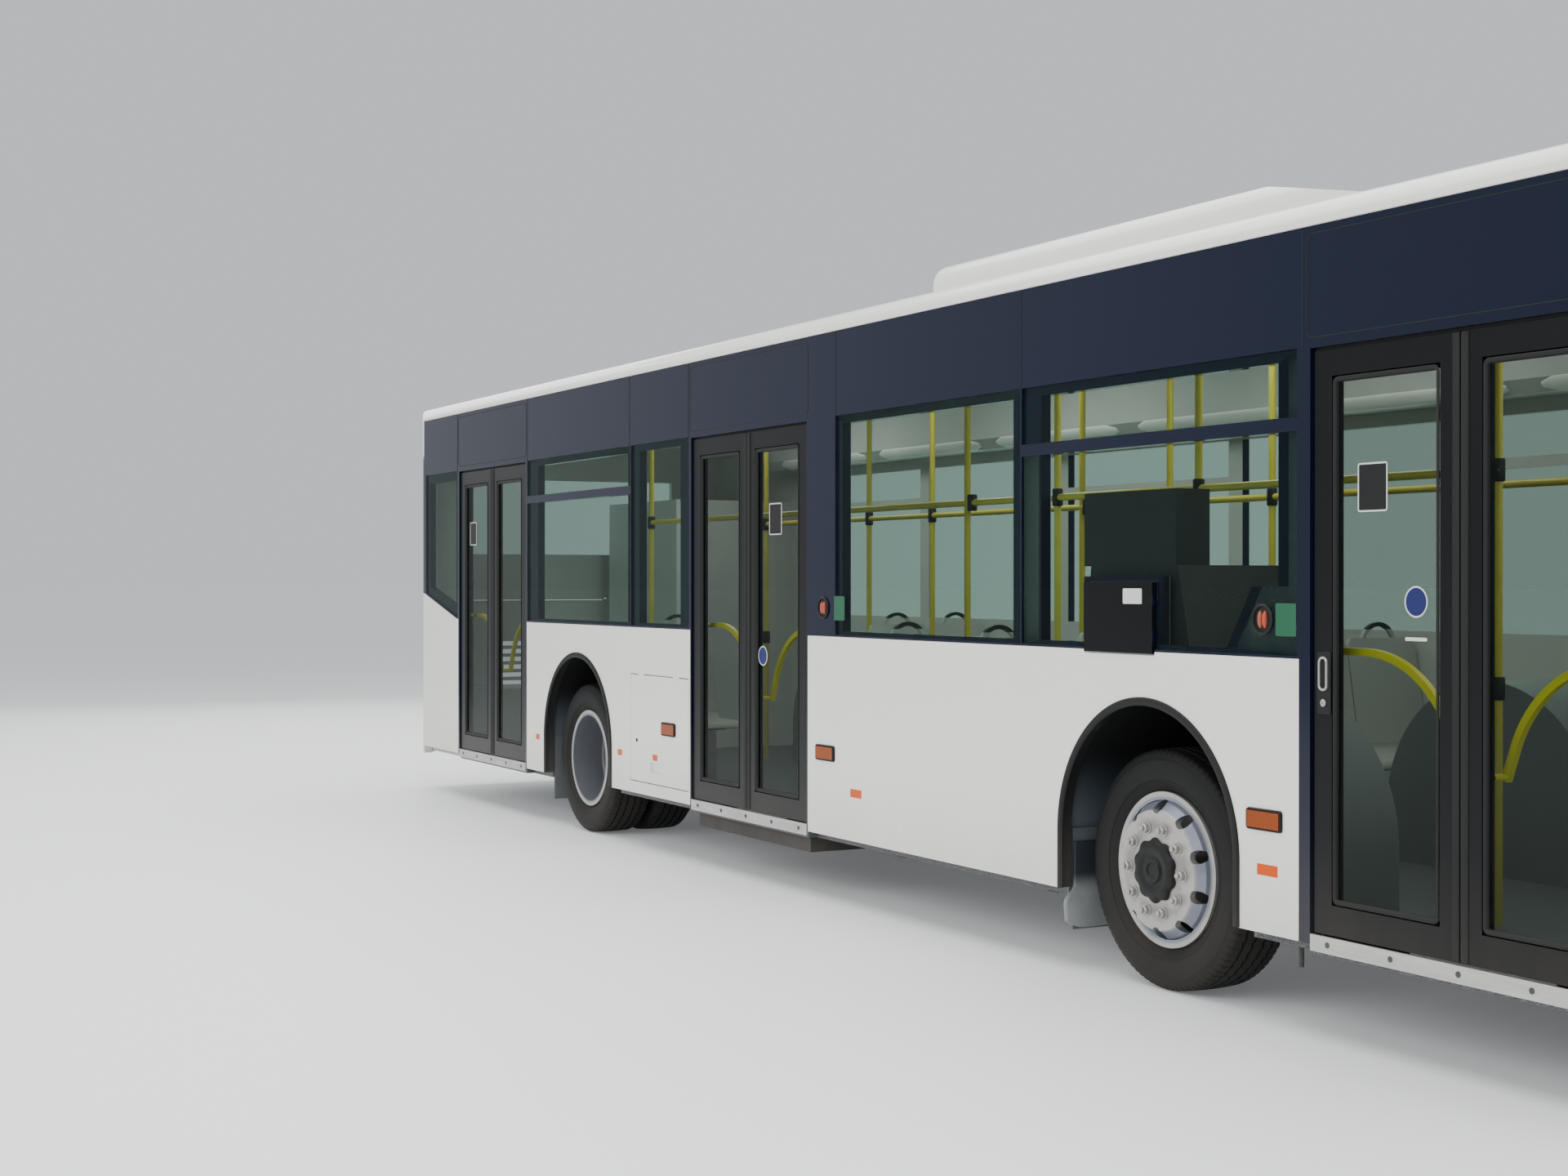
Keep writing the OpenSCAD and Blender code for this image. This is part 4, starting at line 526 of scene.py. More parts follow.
def arch_finish():
    """Wheel side of the tubs: blue-grey liner, turned black under the crown as painted shade.
    Saloon side: grey vinyl.

    The two sides are 15 mm apart, so the distance from the arch's axis, or from the middle of
    the bus, tells them apart. The tank's housing on the right front tub is black.
    """
    material, shader, place = finish("arch_liner_vinyl_and_tank")
    height, depth = place.axis("Z"), abs(place.axis("Y"))
    front, radius = from_axle(place, ARCH_Z, flat=True)
    house_y = front * (FRONT_HOUSE_Y - REAR_HOUSE_Y) + REAR_HOUSE_Y
    saloon = radius.above(TUB_SPLIT_R).high(depth.below(house_y))
    tank = front * place.axis("Y").below(-TANK_Y) * radius.above(TANK_R)
    dust = road_dust(place, 0.8, 0.5)
    liner = dust.mix((0.075, 0.095, 0.115), DUST)
    # Painted shade: the liner goes black towards the crown of the arch.
    wheel_side = height.step(0.60, 0.90).mix(liner, (0.008, 0.008, 0.009))
    chips = place.noise(420.0, 2.0)
    vinyl = chips.mix((0.13, 0.135, 0.14), (0.20, 0.205, 0.21))
    feed(shader, Base_Color=tank.mix(saloon.mix(wheel_side, vinyl), (0.010, 0.010, 0.011)),
         Roughness=0.5 + dust * 0.2, Normal=place.bump(chips, 0.4, 0.0002),
         Specular_IOR_Level=0.3)
    return material


tub_finish = arch_finish()


SEAT_BACK_TOP, SEAT_FOOT_TOP = 1.357, 0.735


def seat_mask(place):
    """The dark loop handle above a seat's back, and the pedestal under its cushion."""
    height = place.axis("Z")
    return height.above(SEAT_BACK_TOP).high(height.below(SEAT_FOOT_TOP))


seat_finish = two_tone("seat_shell_and_handle", (0.02, 0.02, 0.022), 0.4, seat_mask,
                       (0.40, 0.40, 0.38), 0.4, 0.0)


def tail_lens():
    """Round lamps in one column: white at the foot, then red, red, and amber on top."""
    material, shader, place = finish("tail_lamp_lenses")
    height = place.axis("Z") * 0.5
    stops = ((0.0, (0.62, 0.62, 0.60)), (0.411, (0.42, 0.012, 0.008)), (0.536, (0.62, 0.16, 0.012)))
    hue = height.node("ValToRGB", {"stops": stops}, Fac=height)
    material.node_tree.nodes["Color Ramp"].color_ramp.interpolation = "CONSTANT"
    rings = place.bands("Z", 60.0)
    feed(shader, Base_Color=hue, Roughness=rings * 0.05 + 0.1,
         Normal=place.bump(rings, 0.3, 0.0005), Coat_Weight=1.0)
    return material


tail_finish = tail_lens()


# %% Every solid gets its finish
def dress(material, *names):
    """Gives one material to the solids whose names are, or begin with, these."""
    for name, ob in nodes.items():
        if name.startswith(names):
            for slot in ob.material_slots:
                slot.material = material


dress(chassis_black, "underframe", "engine")
dress(interior_grey, "engine_tower", "ceiling_ducts", "cab_partition")
dress(steel_dark, "axles", "knuckle")
dress(white_paint, "side_wall", "front_panel", "rear_panel", "engine_lid", "service_flap")
dress(roof_white, "roof")
dress(band_black, "window_band", "end_frames")
dress(saloon_tint, "saloon_glass")
dress(screen_tint, "windscreen")
dress(lens_clear, "headlamps")
dress(floor_vinyl, "floor")
dress(tub_finish, "wheel_houses")
dress(sill_aluminium, "door_sills")
dress(rail_yellow, "grab_rails")
dress(seat_finish, "seats")
dress(seat_shell_grey, "driver_seat")
dress(black_plastic, "dashboard", "mirrors")
dress(door_black, "fuel_flap", "front_door_post", "middle_door_post", "rear_door_post")
dress(leaf_finish, "front_door_leaf", "middle_door_leaf", "rear_door_leaf")
dress(door_tint, "front_door_glass", "middle_door_glass", "rear_door_glass")
dress(tail_finish, "tail_lamps")
dress(lens_amber, "marker_lamps", "flap_lamps")
dress(rim_silver, "front_rim", "rear_rims")
dress(tyre_rubber, "front_tyre", "rear_tyres")
print("materials:", len(bpy.data.materials))

# %% [markdown]
# ## Surfaces from arrays
#
# Most added pieces are one of two things: a surface whose points are a table of two parameters,
# or a small outline swept along a path. Both come as numpy arrays of points, so one function can
# join them with quads, and a piece can be the sum of several such tables.


# %% Meshes from tables of points
def xyz(x, y, z):
    """Points from three arrays or numbers, each spread over the shapes of the others."""
    return np.stack(np.broadcast_arrays(x, y, z), -1)


def full_turn(steps):
    """Even angles round a circle, without the last one, which is the first again."""
    return np.linspace(0, 2 * math.pi, steps, endpoint=False)


def table(grid, wrap_u=False, wrap_v=False):
    """The points and quads of grid[u, v]; wrap joins the last row or column to the first."""
    grid = np.asarray(grid, float)
    rows, cols = grid.shape[:2]
    number = np.arange(rows * cols).reshape(rows, cols)
    if wrap_u:
        number = np.vstack([number, number[:1]])
    if wrap_v:
        number = np.hstack([number, number[:, :1]])
    quads = np.stack([number[:-1, :-1], number[1:, :-1], number[1:, 1:], number[:-1, 1:]], -1)
    return grid.reshape(-1, 3), quads.reshape(-1, 4)


def tube(grid):
    """A table that is closed round v, with one many-sided face over each of its open ends."""
    rows, cols = grid.shape[:2]
    points, faces = table(grid, wrap_v=True)
    ends = [list(range(cols)), list(range((rows - 1) * cols, rows * cols))[::-1]]
    return points, [list(face) for face in faces] + ends


def clean_up(mesh):
    """Merges points that coincide, as at a pole, and turns all faces outwards."""
    work = bmesh.new()
    work.from_mesh(mesh)
    bmesh.ops.remove_doubles(work, verts=work.verts, dist=0.000002)
    bmesh.ops.recalc_face_normals(work, faces=work.faces)
    work.to_mesh(mesh)
    work.free()


def piece(name, tables, material, body="root", angle=35):
    """One object from several tables of points and faces, riding on a body of the frame."""
    points, faces, start = [], [], 0
    for some_points, some_faces in tables:
        points.append(some_points)
        faces.extend((np.asarray(face) + start).tolist() for face in some_faces)
        start += len(some_points)
    mesh = bpy.data.meshes.new(name)
    mesh.from_pydata(np.concatenate(points).tolist(), [], faces)
    clean_up(mesh)
    mesh.polygons.foreach_set("use_smooth", np.ones(len(mesh.polygons), bool))
    mesh.set_sharp_from_angle(angle=math.radians(angle))
    mesh.materials.append(material)
    ob = bpy.data.objects.new(name, mesh)
    bpy.context.scene.collection.objects.link(ob)
    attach(ob, body)
    return ob


def to_axis(profile):
    """The outline with a point of radius 0 added at either end, so that the turned form closes."""
    profile = np.asarray(profile, float)
    ends = profile[[0, -1]].copy()
    ends[:, 1:] = 0
    return np.concatenate([ends[:1], profile, ends[1:]])


def turned(profile, centre, outwards, steps, ring=False):
    """Turns an outline (along the axis, radius) round an axis parallel to Y through centre.

    outwards is 1 or -1, the direction of the axis along Y. A point is at
    centre + (radius cos a, outwards * along, radius sin a), with a from 0 to a full turn. The
    outline of a ring is closed in itself; any other one is closed at the axis.
    """
    profile = np.asarray(profile, float) if ring else to_axis(profile)
    a = full_turn(steps)
    along, radius = profile[:, 0][:, None], profile[:, 1][:, None]
    grid = xyz(radius * np.cos(a), outwards * along, radius * np.sin(a))
    return table(grid + np.asarray(centre, float), wrap_u=ring, wrap_v=True)


def swept(path, outline, side):
    """Carries an outline (out, across) along a path of points, and closes both ends.

    At each point, across is measured along the path's normal in the plane at right angles to
    side, and out along side. The tangent comes from the neighbouring points.
    """
    tangent = np.gradient(path, axis=0)
    tangent /= np.linalg.norm(tangent, axis=1)[:, None]
    side = np.asarray(side, float)
    normal = np.cross(tangent, side)
    return tube(path[:, None] + outline[None, :, :1] * side
                + outline[None, :, 1:] * normal[:, None])


# %% [markdown]
# ## Tyres
#
# A tyre's section is a closed outline: beads, bulging side walls with moulded rings, a shoulder,
# and a tread whose four grooves zigzag round the wheel. The section's table is turned about the
# axle; groove points swing sideways by a triangle wave of the angle, and the shoulder's blocks
# come from notches at every fourth step.

# %% Tread and side walls
TYRE_R, TREAD_HALF, TREAD_CROWN = 0.470, 0.110, 0.004
AROUND, ZIGZAGS, SWAY = 360, 60, 0.0035
NOTCH_EVERY, NOTCH_DEEP = 4, 0.006
SIDE = (
    (0.1037, 0.2880), (0.1037, 0.3026), (0.1130, 0.3160), (0.1235, 0.3300), (0.1300, 0.3420),
    (0.1318, 0.3445), (0.1345, 0.3455), (0.1352, 0.3495), (0.1338, 0.3510), (0.1362, 0.3640),
    (0.1378, 0.3800), (0.1380, 0.3950), (0.1372, 0.4100), (0.1356, 0.4200), (0.1366, 0.4212),
    (0.1354, 0.4270), (0.1335, 0.4290), (0.1300, 0.4420), (0.1245, 0.4535), (0.1165, 0.4630),
)
GROOVES = (-0.070, -0.025, 0.025, 0.070)
GROOVE_HALF, GROOVE_DEEP = 0.0055, 0.011


def tyre_section():
    """Across, radius, sway and notch of each point, from one bead round to the other."""
    side = np.array(SIDE)
    tread = [(-TREAD_HALF, 0, 0)]
    for middle in GROOVES:
        for step, deep in ((-1.0, 0), (-0.72, 1), (0.72, 1), (1.0, 0)):
            tread.append((middle + step * GROOVE_HALF, deep, 1))
    tread = np.array(tread + [(TREAD_HALF, 0, 0)])
    crown = TREAD_CROWN * (tread[:, 0] / TREAD_HALF) ** 2
    radius = TYRE_R - crown - GROOVE_DEEP * tread[:, 1]
    across = np.concatenate([-side[:, 0], tread[:, 0], side[::-1, 0]])
    radius = np.concatenate([side[:, 1], radius, side[::-1, 1]])
    sway = np.concatenate([np.zeros(len(side)), tread[:, 2], np.zeros(len(side))])
    notch = np.zeros(len(across))
    end = len(across) - len(side)
    notch[len(side) - 2:len(side) + 1] = notch[end - 1:end + 2] = 1
    return across, radius, sway, notch


def tyre_table(centre, outwards):
    """The section at AROUND angles: points are centre + (r cos a, outwards * across, r sin a)."""
    across, radius, sway, notch = tyre_section()
    step = np.arange(AROUND)
    a = step / AROUND * 2 * math.pi
    zigzag = np.abs((step * ZIGZAGS / AROUND) % 1 * 2 - 1) * 2 - 1
    cut = (step % NOTCH_EVERY == 0).astype(float)
    y = across[:, None] + sway[:, None] * zigzag * SWAY
    r = radius[:, None] - notch[:, None] * cut * NOTCH_DEEP
    return table(xyz(r * np.cos(a), outwards * y, r * np.sin(a)) + np.asarray(centre), True, True)


FRONT_Y, REAR_Y, TWIN = 1.050, 1.073, 0.312
SIDES = {"left": 1, "right": -1}
for side, s in SIDES.items():
    front = piece(f"tyre_front_{side}", [tyre_table((FRONT_X, s * FRONT_Y, WHEEL_Z), s)],
                  tyre_rubber, f"front_wheel_{side}")
    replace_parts(front, f"front_tyre_{side}")
    pair = [tyre_table((REAR_X, s * y, WHEEL_Z), s) for y in (REAR_Y, REAR_Y - TWIN)]
    rear = piece(f"tyres_rear_{side}", pair, tyre_rubber, f"rear_wheels_{side}")
    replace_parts(rear, f"rear_tyres_{side}")
print("tyre:", AROUND * len(tyre_section()[0]) * 2, "triangles")

# %% [markdown]
# ## Wheel nuts and hub caps
#
# Ten nuts hold each wheel. A nut is a hexagon turned about its own bolt: a radius that changes
# with the angle gives the six flats. The front hub cap has a wavy edge that fits between the
# nuts, so its radius is a cosine of ten times the angle.

# %% Nuts, hub caps and the rear hubs
FRONT_FACE, DOME_FACE = 0.165, 0.180
REAR_DISC, REAR_HUB_FACE = -0.138, -0.046


def lobed(profile, centre, outwards, lobes, depth, steps, phase):
    """Like turned, but each point's radius grows by its depth share of cos(lobes * angle).

    profile rows are (along the axis, radius, share). The point at angle a has the radius
    radius + share * depth * cos(lobes * (a - phase)).
    """
    profile = to_axis(profile)
    a = full_turn(steps)
    wave = depth * np.cos(lobes * (a - phase))
    radius = profile[:, 1][:, None] + profile[:, 2][:, None] * wave
    grid = xyz(radius * np.cos(a), outwards * profile[:, 0][:, None], radius * np.sin(a))
    return table(grid + np.asarray(centre, float), wrap_v=True)


def nut_ring(centre, outwards, base, height, start):
    """Hexagon nuts with washer and stud end, at even angles round the axle.

    A hexagon of inner radius h has the radius h / cos(a mod 60 degrees - 30 degrees).
    """
    outline = np.array([
        (0.0, 0.0), (0.0, 0.0235), (0.0035, 0.0235), (0.0045, 0.020), (0.0045, 0.0165),
        (height - 0.004, 0.0165), (height, 0.0135), (height, 0.011), (height + 0.009, 0.0105),
        (height + 0.011, 0.009), (height + 0.011, 0.0),
    ])
    hexed = np.array([0, 0, 0, 0, 1, 1, 0, 0, 0, 0, 0])
    a = full_turn(24)
    flat = 1 / np.cos(a % (math.pi / 3) - math.pi / 6)
    radius = outline[:, 1][:, None] * np.where(hexed[:, None] == 1, flat, 1.0)
    y = outwards * (base + outline[:, 0])[:, None]
    tables = []
    for bolt in start + np.arange(NUTS) * 2 * math.pi / NUTS:
        x = NUT_CIRCLE * math.cos(bolt) + radius * np.cos(a + bolt)
        z = NUT_CIRCLE * math.sin(bolt) + radius * np.sin(a + bolt)
        tables.append(table(xyz(x, y, z) + np.asarray(centre, float), wrap_v=True))
    return tables


FIRST_NUT = math.radians(18 + 90)
CAP = np.array((
    (0.0004, 0.060, 0), (0.0004, 0.121, 1), (0.006, 0.122, 1), (0.015, 0.116, 0.9),
    (0.004, 0.106, 0.5), (0.0065, 0.094, 0.1), (0.0065, 0.070, 0), (0.004, 0.066, 0),
    (0.004, 0.052, 0), (0.009, 0.049, 0), (0.0095, 0.030, 0), (0.0045, 0.026, 0),
    (0.0045, 0.0005, 0),
))
CAP[:4, 0] += FRONT_FACE
CAP[4:, 0] += DOME_FACE
REAR_CAP = np.array((
    (0.0004, 0.060), (0.0004, 0.124), (0.010, 0.124), (0.013, 0.121), (0.013, 0.084),
    (0.016, 0.080), (0.034, 0.070), (0.040, 0.062), (0.041, 0.0005),
)) + (REAR_HUB_FACE, 0)
for side, s in SIDES.items():
    front, rear = f"front_wheel_{side}", f"rear_wheels_{side}"
    middle = (FRONT_X, s * FRONT_Y, WHEEL_Z)
    start = FIRST_NUT * s
    wavy = lobed(CAP, middle, s, NUTS, -0.006, 240, start)
    piece(f"hub_cap_front_{side}", [wavy], black_plastic, front)
    nuts = nut_ring(middle, s, FRONT_FACE + 0.0003, 0.024, start)
    piece(f"wheel_nuts_front_{side}", nuts, zinc, front, 25)
    middle = (REAR_X, s * REAR_Y, WHEEL_Z)
    piece(f"hub_cap_rear_{side}", [turned(REAR_CAP, middle, s, 72)], steel_dark, rear)
    nuts = nut_ring(middle, s, REAR_DISC + 0.0003, 0.026, start)
    piece(f"wheel_nuts_rear_{side}", nuts, zinc, rear, 25)
print("nuts:", 4 * NUTS)

# %% [markdown]
# ## Rubber lips of the wheel arches
#
# A black rubber profile is pressed over the cut edge of each arch. Its outline is carried along
# the arch: up one side, round the half circle and down the other side. The long part of the
# outline reaches through the wall, and the lip lies on the paint outside.

# %% Arch lips
SIDE_Y, SKIRT_Z, BELT_Z, CANT_Z = 1.275, 0.335, 1.317, 2.818
LIP = np.array([
    (-0.055, -0.009), (0.004, -0.009), (0.008, -0.006), (0.0095, 0.0), (0.0095, 0.014),
    (0.007, 0.021), (0.0025, 0.024), (0.0005, 0.0235), (0.0005, -0.0006), (-0.055, -0.0006),
])


def arch_path(x, y):
    """Up from the skirt, along z = ARCH_Z + r sin a, x = middle - r cos a, and down again."""
    a = np.linspace(0, math.pi, 72)
    legs = np.linspace(SKIRT_Z + 0.002, ARCH_Z, 6)[:-1]
    crown = xyz(x - ARCH_R * np.cos(a), y, ARCH_Z + ARCH_R * np.sin(a))
    return np.concatenate([xyz(x - ARCH_R, y, legs), crown, xyz(x + ARCH_R, y, legs[::-1])])


for side, s in SIDES.items():
    paths = [arch_path(x, s * SIDE_Y) for x in (FRONT_X, REAR_X)]
    lips = [swept(path, LIP * (1, -s), (0, s, 0)) for path in paths]
    piece(f"arch_lips_{side}", lips, rubber, angle=40)
print("arch lips on both sides")

# %% [markdown]
# ## Drip rail
#
# A slim gutter runs along both edges of the roof, where the white roof meets the dark band, and
# keeps rain off the doors. It is one outline carried straight along the bus.

# %% Gutter along the cant
GUTTER_REAR, GUTTER_FRONT = -5.66, 5.60
GUTTER = np.array([
    (0.0003, -0.004), (0.0075, -0.003), (0.010, 0.001), (0.010, 0.011), (0.0082, 0.012),
    (0.0078, 0.0025), (0.0055, 0.001), (0.002, 0.003), (0.0003, 0.010),
])
for side, s in SIDES.items():
    path = xyz(np.linspace(GUTTER_REAR, GUTTER_FRONT, 60), s * SIDE_Y, CANT_Z)
    piece(f"drip_rail_{side}", [swept(path, GUTTER * (1, s), (0, s, 0))], roof_white, angle=40)

# %% [markdown]
# ## Frames that follow a rectangle
#
# Gaskets, lamp housings and lock plates are all a small outline carried round a rectangle with
# round corners. The path is worked out once: four quarter circles, joined by straight runs.


# %% Round-cornered loops and plates
def arc(x, z, r, a):
    """Points (x + r cos a, z + r sin a) at the angles a."""
    return np.stack([x + r * np.cos(a), z + r * np.sin(a)], 1)


def rounded_loop(x0, x1, z0, z1, r, steps=7):
    """Points (x, z) round a rectangle whose corners are quarter circles of radius r."""
    a = np.linspace(0, math.pi / 2, steps)
    middles = ((x1 - r, z1 - r), (x0 + r, z1 - r), (x0 + r, z0 + r), (x1 - r, z0 + r))
    return np.concatenate([arc(x, z, r, a + k * math.pi / 2) for k, (x, z) in enumerate(middles)])


def drawn_in(loop, edge):
    """The loop shrunk towards its middle, by edge on every side."""
    middle = loop.mean(0)
    return middle + (loop - middle) * (1 - 2 * edge / np.ptp(loop, 0))


def frame_on_side(s, face, loop, outline):
    """Carries outline rows (proud, outwards in the plane) round a loop that lies on y = s * face.

    The loop runs anticlockwise in x and z, so the way out of it is its tangent turned by -90
    degrees: (dz, -dx).
    """
    loop, outline = np.asarray(loop), np.asarray(outline, float)
    tangent = np.roll(loop, -1, 0) - np.roll(loop, 1, 0)
    tangent /= np.linalg.norm(tangent, axis=1)[:, None]
    x = loop[:, :1] + tangent[:, 1:] * outline[:, 1]
    z = loop[:, 1:] - tangent[:, :1] * outline[:, 1]
    return table(xyz(x, s * (face + outline[:, 0]), z), wrap_u=True, wrap_v=True)


def plate_on_side(s, face, loop, thick, edge=0.001):
    """A plate with a softened rim: the loop at the back, at the front, and drawn in by edge."""
    loop = np.asarray(loop)
    rings = ((loop, 0.0), (loop, thick - edge), (drawn_in(loop, edge), thick))
    return tube(np.stack([xyz(r[:, 0], s * (face + d), r[:, 1]) for r, d in rings]))


# %% [markdown]
# ## Doors: gaskets, closing rubbers and locks
#
# Each leaf holds its glass with a black gasket. Two soft rubber noses meet where the leaves
# close. The noses and gaskets ride on their leaf, so they swing with it. The front leaf of the
# first door also carries the lock with its loop grip.

# %% Door rubbers
DOORS = {"front": 4.895, "middle": -0.175, "rear": -4.188}
LEAF_GAP, LEAF_EDGE, STILE = 0.003, 0.675, 0.100
LEAF_FACE, GLASS_FACE, DOOR_GLASS_Z = 1.265, 1.253, (0.493, 2.275)
LEAF_Z = (0.376, 2.380)
GASKET = ((-0.0115, 0.0), (-0.0115, -0.009), (-0.006, -0.0085), (-0.001, -0.004), (0.002, 0.001),
          (0.0022, 0.006), (0.0003, 0.009), (0.0003, 0.0))
for door, middle_x in DOORS.items():
    for leaf, s in (("a", -1), ("b", 1)):
        meet = middle_x + s * LEAF_GAP
        far = middle_x + s * LEAF_EDGE
        low, high = sorted((meet + s * STILE, far - s * STILE))
        loop = rounded_loop(low, high, *DOOR_GLASS_Z, 0.012)
        gasket = frame_on_side(-1, LEAF_FACE, loop, GASKET)
        a = np.linspace(0, math.pi, 9)
        nose = np.stack([meet - s * 0.0022 * np.sin(a), -(1.245 + 0.012 * np.cos(a))], 1)
        strip = np.array([(meet, -1.2655), (meet, -1.2685), (meet + s * 0.006, -1.2695),
                          (meet + s * 0.030, -1.2685), (meet + s * 0.032, -1.2655)])
        heights = np.linspace(LEAF_Z[0] + 0.004, LEAF_Z[1] - 0.004, 12)[:, None]
        rubbers = [tube(xyz(section[:, 0], section[:, 1], heights)) for section in (nose, strip)]
        piece(f"{door}_door_rubbers_{leaf}", [gasket, *rubbers], rubber,
              f"{door}_door_leaf_{leaf}", 40)

# %% [markdown]
# ## Plates and discs, all blank
#
# The glass carries a dark plate with a white rim and a blue disc with a white rim. They are kept
# blank. Each is a thin plate with a softened edge, with a narrow frame carried round it.

# %% Blank plates
ON_GLASS, ON_FLAP, ON_BAND = GLASS_FACE + 0.0002, 1.2832, 1.2748
SIGN_THICK = 0.0015
RIM = ((0.0013, 0.0), (0.0020, -0.0005), (0.0020, -0.0055), (0.0013, -0.006))
TAP_LABELS = ((4.030, 4.138, 1.394, 1.510), (0.800, 0.905, 1.398, 1.516))


def blank_sign(name, body, plate, disc=None):
    """A dark plate (x0, x1, z0, z1) and a blue disc (x, z, r) on one leaf's glass."""
    board = rounded_loop(*plate, 0.010)
    piece(f"{name}_plate", [plate_on_side(-1, ON_GLASS, board, SIGN_THICK)], black_plastic, body)
    rims = [frame_on_side(-1, ON_GLASS, board, RIM)]
    if disc:
        board = arc(*disc, full_turn(40))
        piece(f"{name}_disc", [plate_on_side(-1, ON_GLASS, board, SIGN_THICK)], label_blue, body)
        rims.append(frame_on_side(-1, ON_GLASS, board, RIM))
    piece(f"{name}_rims", rims, label_white, body)


blank_sign("front_door_sign", "front_door_leaf_a", (4.420, 4.560, 1.820, 1.985),
           (4.690, 1.520, 0.052))
blank_sign("middle_door_sign", "middle_door_leaf_b", (0.062, 0.202, 1.830, 1.995),
           (-0.012, 1.198, 0.052))
blank_sign("rear_door_sign", "rear_door_leaf_a", (-4.690, -4.550, 1.850, 2.015))
strip = plate_on_side(-1, ON_GLASS, rounded_loop(4.640, 4.738, 1.392, 1.404, 0.004), SIGN_THICK)
piece("front_door_strip", [strip], label_white, "front_door_leaf_a")
label = plate_on_side(-1, ON_FLAP, rounded_loop(3.150, 3.270, 1.500, 1.560, 0.005), 0.0012)
piece("fuel_flap_label", [label], label_white, "fuel_flap")
tap_plates = [plate_on_side(-1, ON_BAND, rounded_loop(*box_xz, 0.006), SIGN_THICK)
              for box_xz in TAP_LABELS]
piece("tap_plates", tap_plates, label_green)

# %% [markdown]
# ## Emergency taps beside the doors
#
# In the dark corner of the first window, and beside the middle door, a red tap with two wings
# sits in a round cup. The wings are half an ellipsoid each, drawn as a table of two angles.


# %% Emergency taps
TAPS, TAP_FACE = ((3.965, 1.452), (0.693, 1.458)), 1.2747
CUP = ((0.0, 0.056), (0.006, 0.056), (0.009, 0.052), (0.009, 0.046), (0.002, 0.043),
       (0.0015, 0.0005))


def dome(centre, s, half_x, half_z, rise, rows=8, steps=28):
    """Half an ellipsoid that stands on a plane of constant y.

    Its points are centre + (half_x cos a sin b, s * rise cos b, half_z sin a sin b).
    """
    a, b = full_turn(steps), np.linspace(0, math.pi / 2, rows)[:, None]
    x, z = half_x * np.cos(a) * np.sin(b), half_z * np.sin(a) * np.sin(b)
    shell = xyz(x, s * rise * np.cos(b), z)
    return table(np.concatenate([shell, 0 * shell[:1]]) + np.asarray(centre, float), wrap_v=True)


for i, (x, z) in enumerate(TAPS):
    piece(f"tap_cup_{i + 1}", [turned(CUP, (x, -TAP_FACE, z), -1, 64)], black_plastic)
    wings = [dome((x + d, -TAP_FACE - 0.0015, z), -1, 0.011, 0.032, 0.012)
             for d in (-0.0125, 0.0125)]
    piece(f"tap_wings_{i + 1}", wings, knob_red)

# %% [markdown]
# ## Lock of the front door
#
# Under the grip's foot, the first leaf has a flat lock plate with a long loop grip and a small
# round cylinder below it. The service flap has a small round lock of its own.

# %% Door lock
LOCK_PLATE_Y, LOCK_Y = 1.2653, 1.2693
LOOP_GRIP = ((0.0, 0.0045), (0.006, 0.0040), (0.009, 0.0), (0.006, -0.0040), (0.0, -0.0045))
CYLINDER = ((0.0, 0.013), (0.004, 0.013), (0.0055, 0.011), (0.0055, 0.004), (0.003, 0.0035),
            (0.003, 0.0005))
FLAP_LOCK = ((0.0, 0.011), (0.002, 0.011), (0.003, 0.009), (0.001, 0.008), (0.001, 0.0005))
lock_body = "front_door_leaf_a"
lock_loop = rounded_loop(4.236, 4.304, 1.130, 1.345, 0.010)
lock_plate = plate_on_side(-1, LOCK_PLATE_Y, lock_loop, 0.004, 0.0015)
grip_loop = rounded_loop(4.252, 4.288, 1.215, 1.325, 0.016)
loop_grip = frame_on_side(-1, LOCK_Y, grip_loop, LOOP_GRIP)
cylinder_lock = turned(CYLINDER, (4.270, -LOCK_Y, 1.170), -1, 32)
piece("door_lock_plate", [lock_plate], black_plastic, lock_body)
piece("door_lock_grip", [loop_grip, cylinder_lock], zinc, lock_body)
small_lock = turned(FLAP_LOCK, (-1.622, -SIDE_Y - 0.0003, 0.650), -1, 32)
piece("flap_lock", [small_lock], black_plastic, "service_flap")

# %% [markdown]
# ## Marker lamp housings
#
# The large amber lamps on the sides sit in black plastic housings with a raised rim. The rim is
# one outline carried round each lens. The last housing on the right is on the service flap and
# swings with it.

# %% Lamp housings
HOUSING = ((0.0003, 0.0006), (0.009, 0.0006), (0.0105, 0.003), (0.0095, 0.0075),
           (0.003, 0.0095), (0.0003, 0.0095))
MARKERS, FLAP_LAMP = ((3.974, 0.739), (0.713, 0.742)), (-1.164, 0.739)
LENS_HALF_X, LENS_HALF_Z = 0.085, 0.030


def lamp_frame(s, x, z):
    """The housing's rim round the lens whose middle is at x, z."""
    loop = rounded_loop(x - LENS_HALF_X, x + LENS_HALF_X, z - LENS_HALF_Z, z + LENS_HALF_Z,
                        0.003, 3)
    return frame_on_side(s, SIDE_Y, loop, HOUSING)


left_frames = [lamp_frame(1, *m) for m in (*MARKERS, FLAP_LAMP)]
piece("lamp_housings_right", [lamp_frame(-1, *m) for m in MARKERS], black_plastic, angle=40)
piece("lamp_housings_left", left_frames, black_plastic, angle=40)
piece("lamp_housing_flap", [lamp_frame(-1, *FLAP_LAMP)], black_plastic, "service_flap", 40)

# %% [markdown]
# ## Pieces that face other ways
#
# Plates and turned parts are drawn as if they stood on the right side of the bus. One function
# turns such a drawing to face any way: it swaps the drawing's three axes for three others. The
# first two, crossed, give the third, so that the faces still point outwards.


